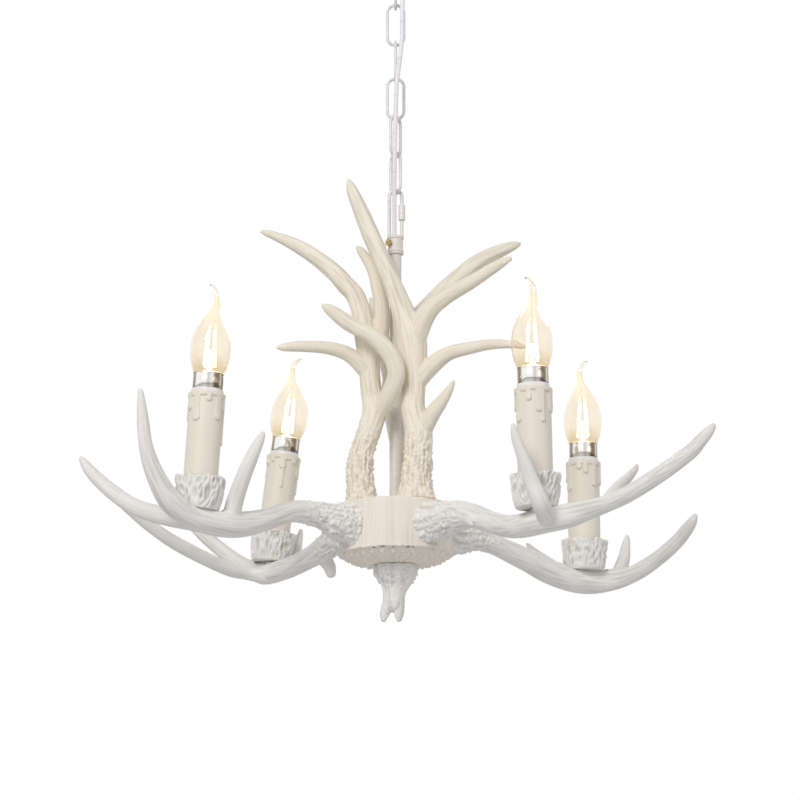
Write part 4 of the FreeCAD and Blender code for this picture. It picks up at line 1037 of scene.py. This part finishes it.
def build_cable():
    """Twin flex in one length per chain joint, each reaching across its joint from one body to the next."""
    line = cable_line()
    bodies = ["ceiling_fitting"] + ["chain_link_%d" % i for i in range(1, 7)] + ["fixture"]
    joints = {j["child"]: j["pos_m"][2] for j in frame["joints"] if j["type"] == "hinge"}
    heights = [joints[body] for body in bodies[1:]]
    cuts = [line[0, 2]] + [(a + b) / 2 for a, b in zip(heights, heights[1:])] + [line[-1, 2]]
    places = [int(np.abs(line[:, 2] - z).argmin()) for z in cuts]
    places[0], places[-1] = 0, len(line) - 1
    for i, (first, last) in enumerate(zip(places, places[1:])):
        part = line[first:last + 1]
        rows = np.column_stack([part, np.full(len(part), CABLE_WIDTH / 2)])
        verts, faces = flat_tube(rows, flex_section())
        obj = mesh_object("supply_flex_%d" % (i + 1), verts, faces)
        obj.data.materials.append(MATERIALS["cable_sheath"])
        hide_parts("supply_cable")
        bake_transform(obj)


def flat_tube(rows, section):
    """A tube of a flat section that keeps its broad face to the front, closed flat at both ends."""
    tangent = np.gradient(rows[:, :3], axis=0)
    tangent /= np.linalg.norm(tangent, axis=1)[:, None]
    across = np.cross(tangent, (0, 1, 0))
    across /= np.linalg.norm(across, axis=1)[:, None]
    through = np.cross(tangent, across)
    verts, faces = swept(rows, section, across, through)
    faces += [tuple(range(len(section)))[::-1], tuple(range(len(verts) - len(section), len(verts)))]
    return verts, faces


# ---- stage, light, camera
def white_where_seen(tree, background):
    """A world that is white where the camera, a mirror or a glass looks, and lights all else plainly."""
    path = tree.nodes.new("ShaderNodeLightPath")
    white = tree.nodes.new("ShaderNodeBackground")
    set_inputs(white, {"Color": (1, 1, 1, 1), "Strength": 1})
    seen = path.outputs["Is Camera Ray"]
    for kind in ("Is Transmission Ray", "Is Glossy Ray"):
        either = tree.nodes.new("ShaderNodeMath")
        either.operation = "MAXIMUM"
        tree.links.new(seen, either.inputs[0])
        tree.links.new(path.outputs[kind], either.inputs[1])
        seen = either.outputs["Value"]
    mix = tree.nodes.new("ShaderNodeMixShader")
    tree.links.new(seen, mix.inputs["Fac"])
    tree.links.new(background.outputs["Background"], mix.inputs[1])
    tree.links.new(white.outputs["Background"], mix.inputs[2])
    tree.links.new(mix.outputs["Shader"], tree.nodes["World Output"].inputs["Surface"])


def build_stage():
    """A white world and a pale floor."""
    world = bpy.data.worlds.new("studio")
    bpy.context.scene.world = world
    world.use_nodes = True
    tree = world.node_tree
    background = tree.nodes["Background"]
    set_inputs(background, {"Color": (1.0, 1.0, 1.0, 1), "Strength": WORLD_STRENGTH})
    white_where_seen(tree, background)
    corners = [(x * FLOOR_HALF_WIDTH, y * FLOOR_HALF_WIDTH, FLOOR_HEIGHT)
               for x, y in ((-1, -1), (1, -1), (1, 1), (-1, 1))]
    floor = mesh_object("floor", corners, [(0, 1, 2, 3)])
    material, tree, shader = nodes_of("floor")
    set_inputs(shader, {"Base Color": (0.8, 0.8, 0.8, 1), "Roughness": 0.9})
    floor.data.materials.append(material)


def build_lights():
    """Round soft lamps, all aimed at the middle of the chandelier."""
    for name, place, size, power, colour in LAMPS:
        light = bpy.data.lights.new(name, "AREA")
        light.shape = "DISK"
        light.size = size
        light.energy = power
        light.color = colour
        obj = placed(name, light)
        obj.location = place
        obj.rotation_euler = (Vector(LAMP_TARGET) - Vector(place)).to_track_quat("-Z", "Y").to_euler()


def build_camera():
    """The photograph's camera, looking up a little from below."""
    camera = bpy.data.cameras.new("camera")
    camera.sensor_width = SENSOR
    camera.lens = SENSOR * FOCAL_PIXELS / PHOTO_WIDTH
    camera.clip_end = 50
    obj = placed("camera", camera)
    obj.location = CAMERA_PLACE
    obj.rotation_euler = (math.radians(90 + CAMERA_RISE), 0, 0)
    bpy.context.scene.camera = obj


bpy.context.scene.view_settings.view_transform = "Standard"
build_camera()
build_stage()
build_lights()
dress_nodes()
build_cable()
build_antlers()
build_hub()
build_finial()
build_candles()
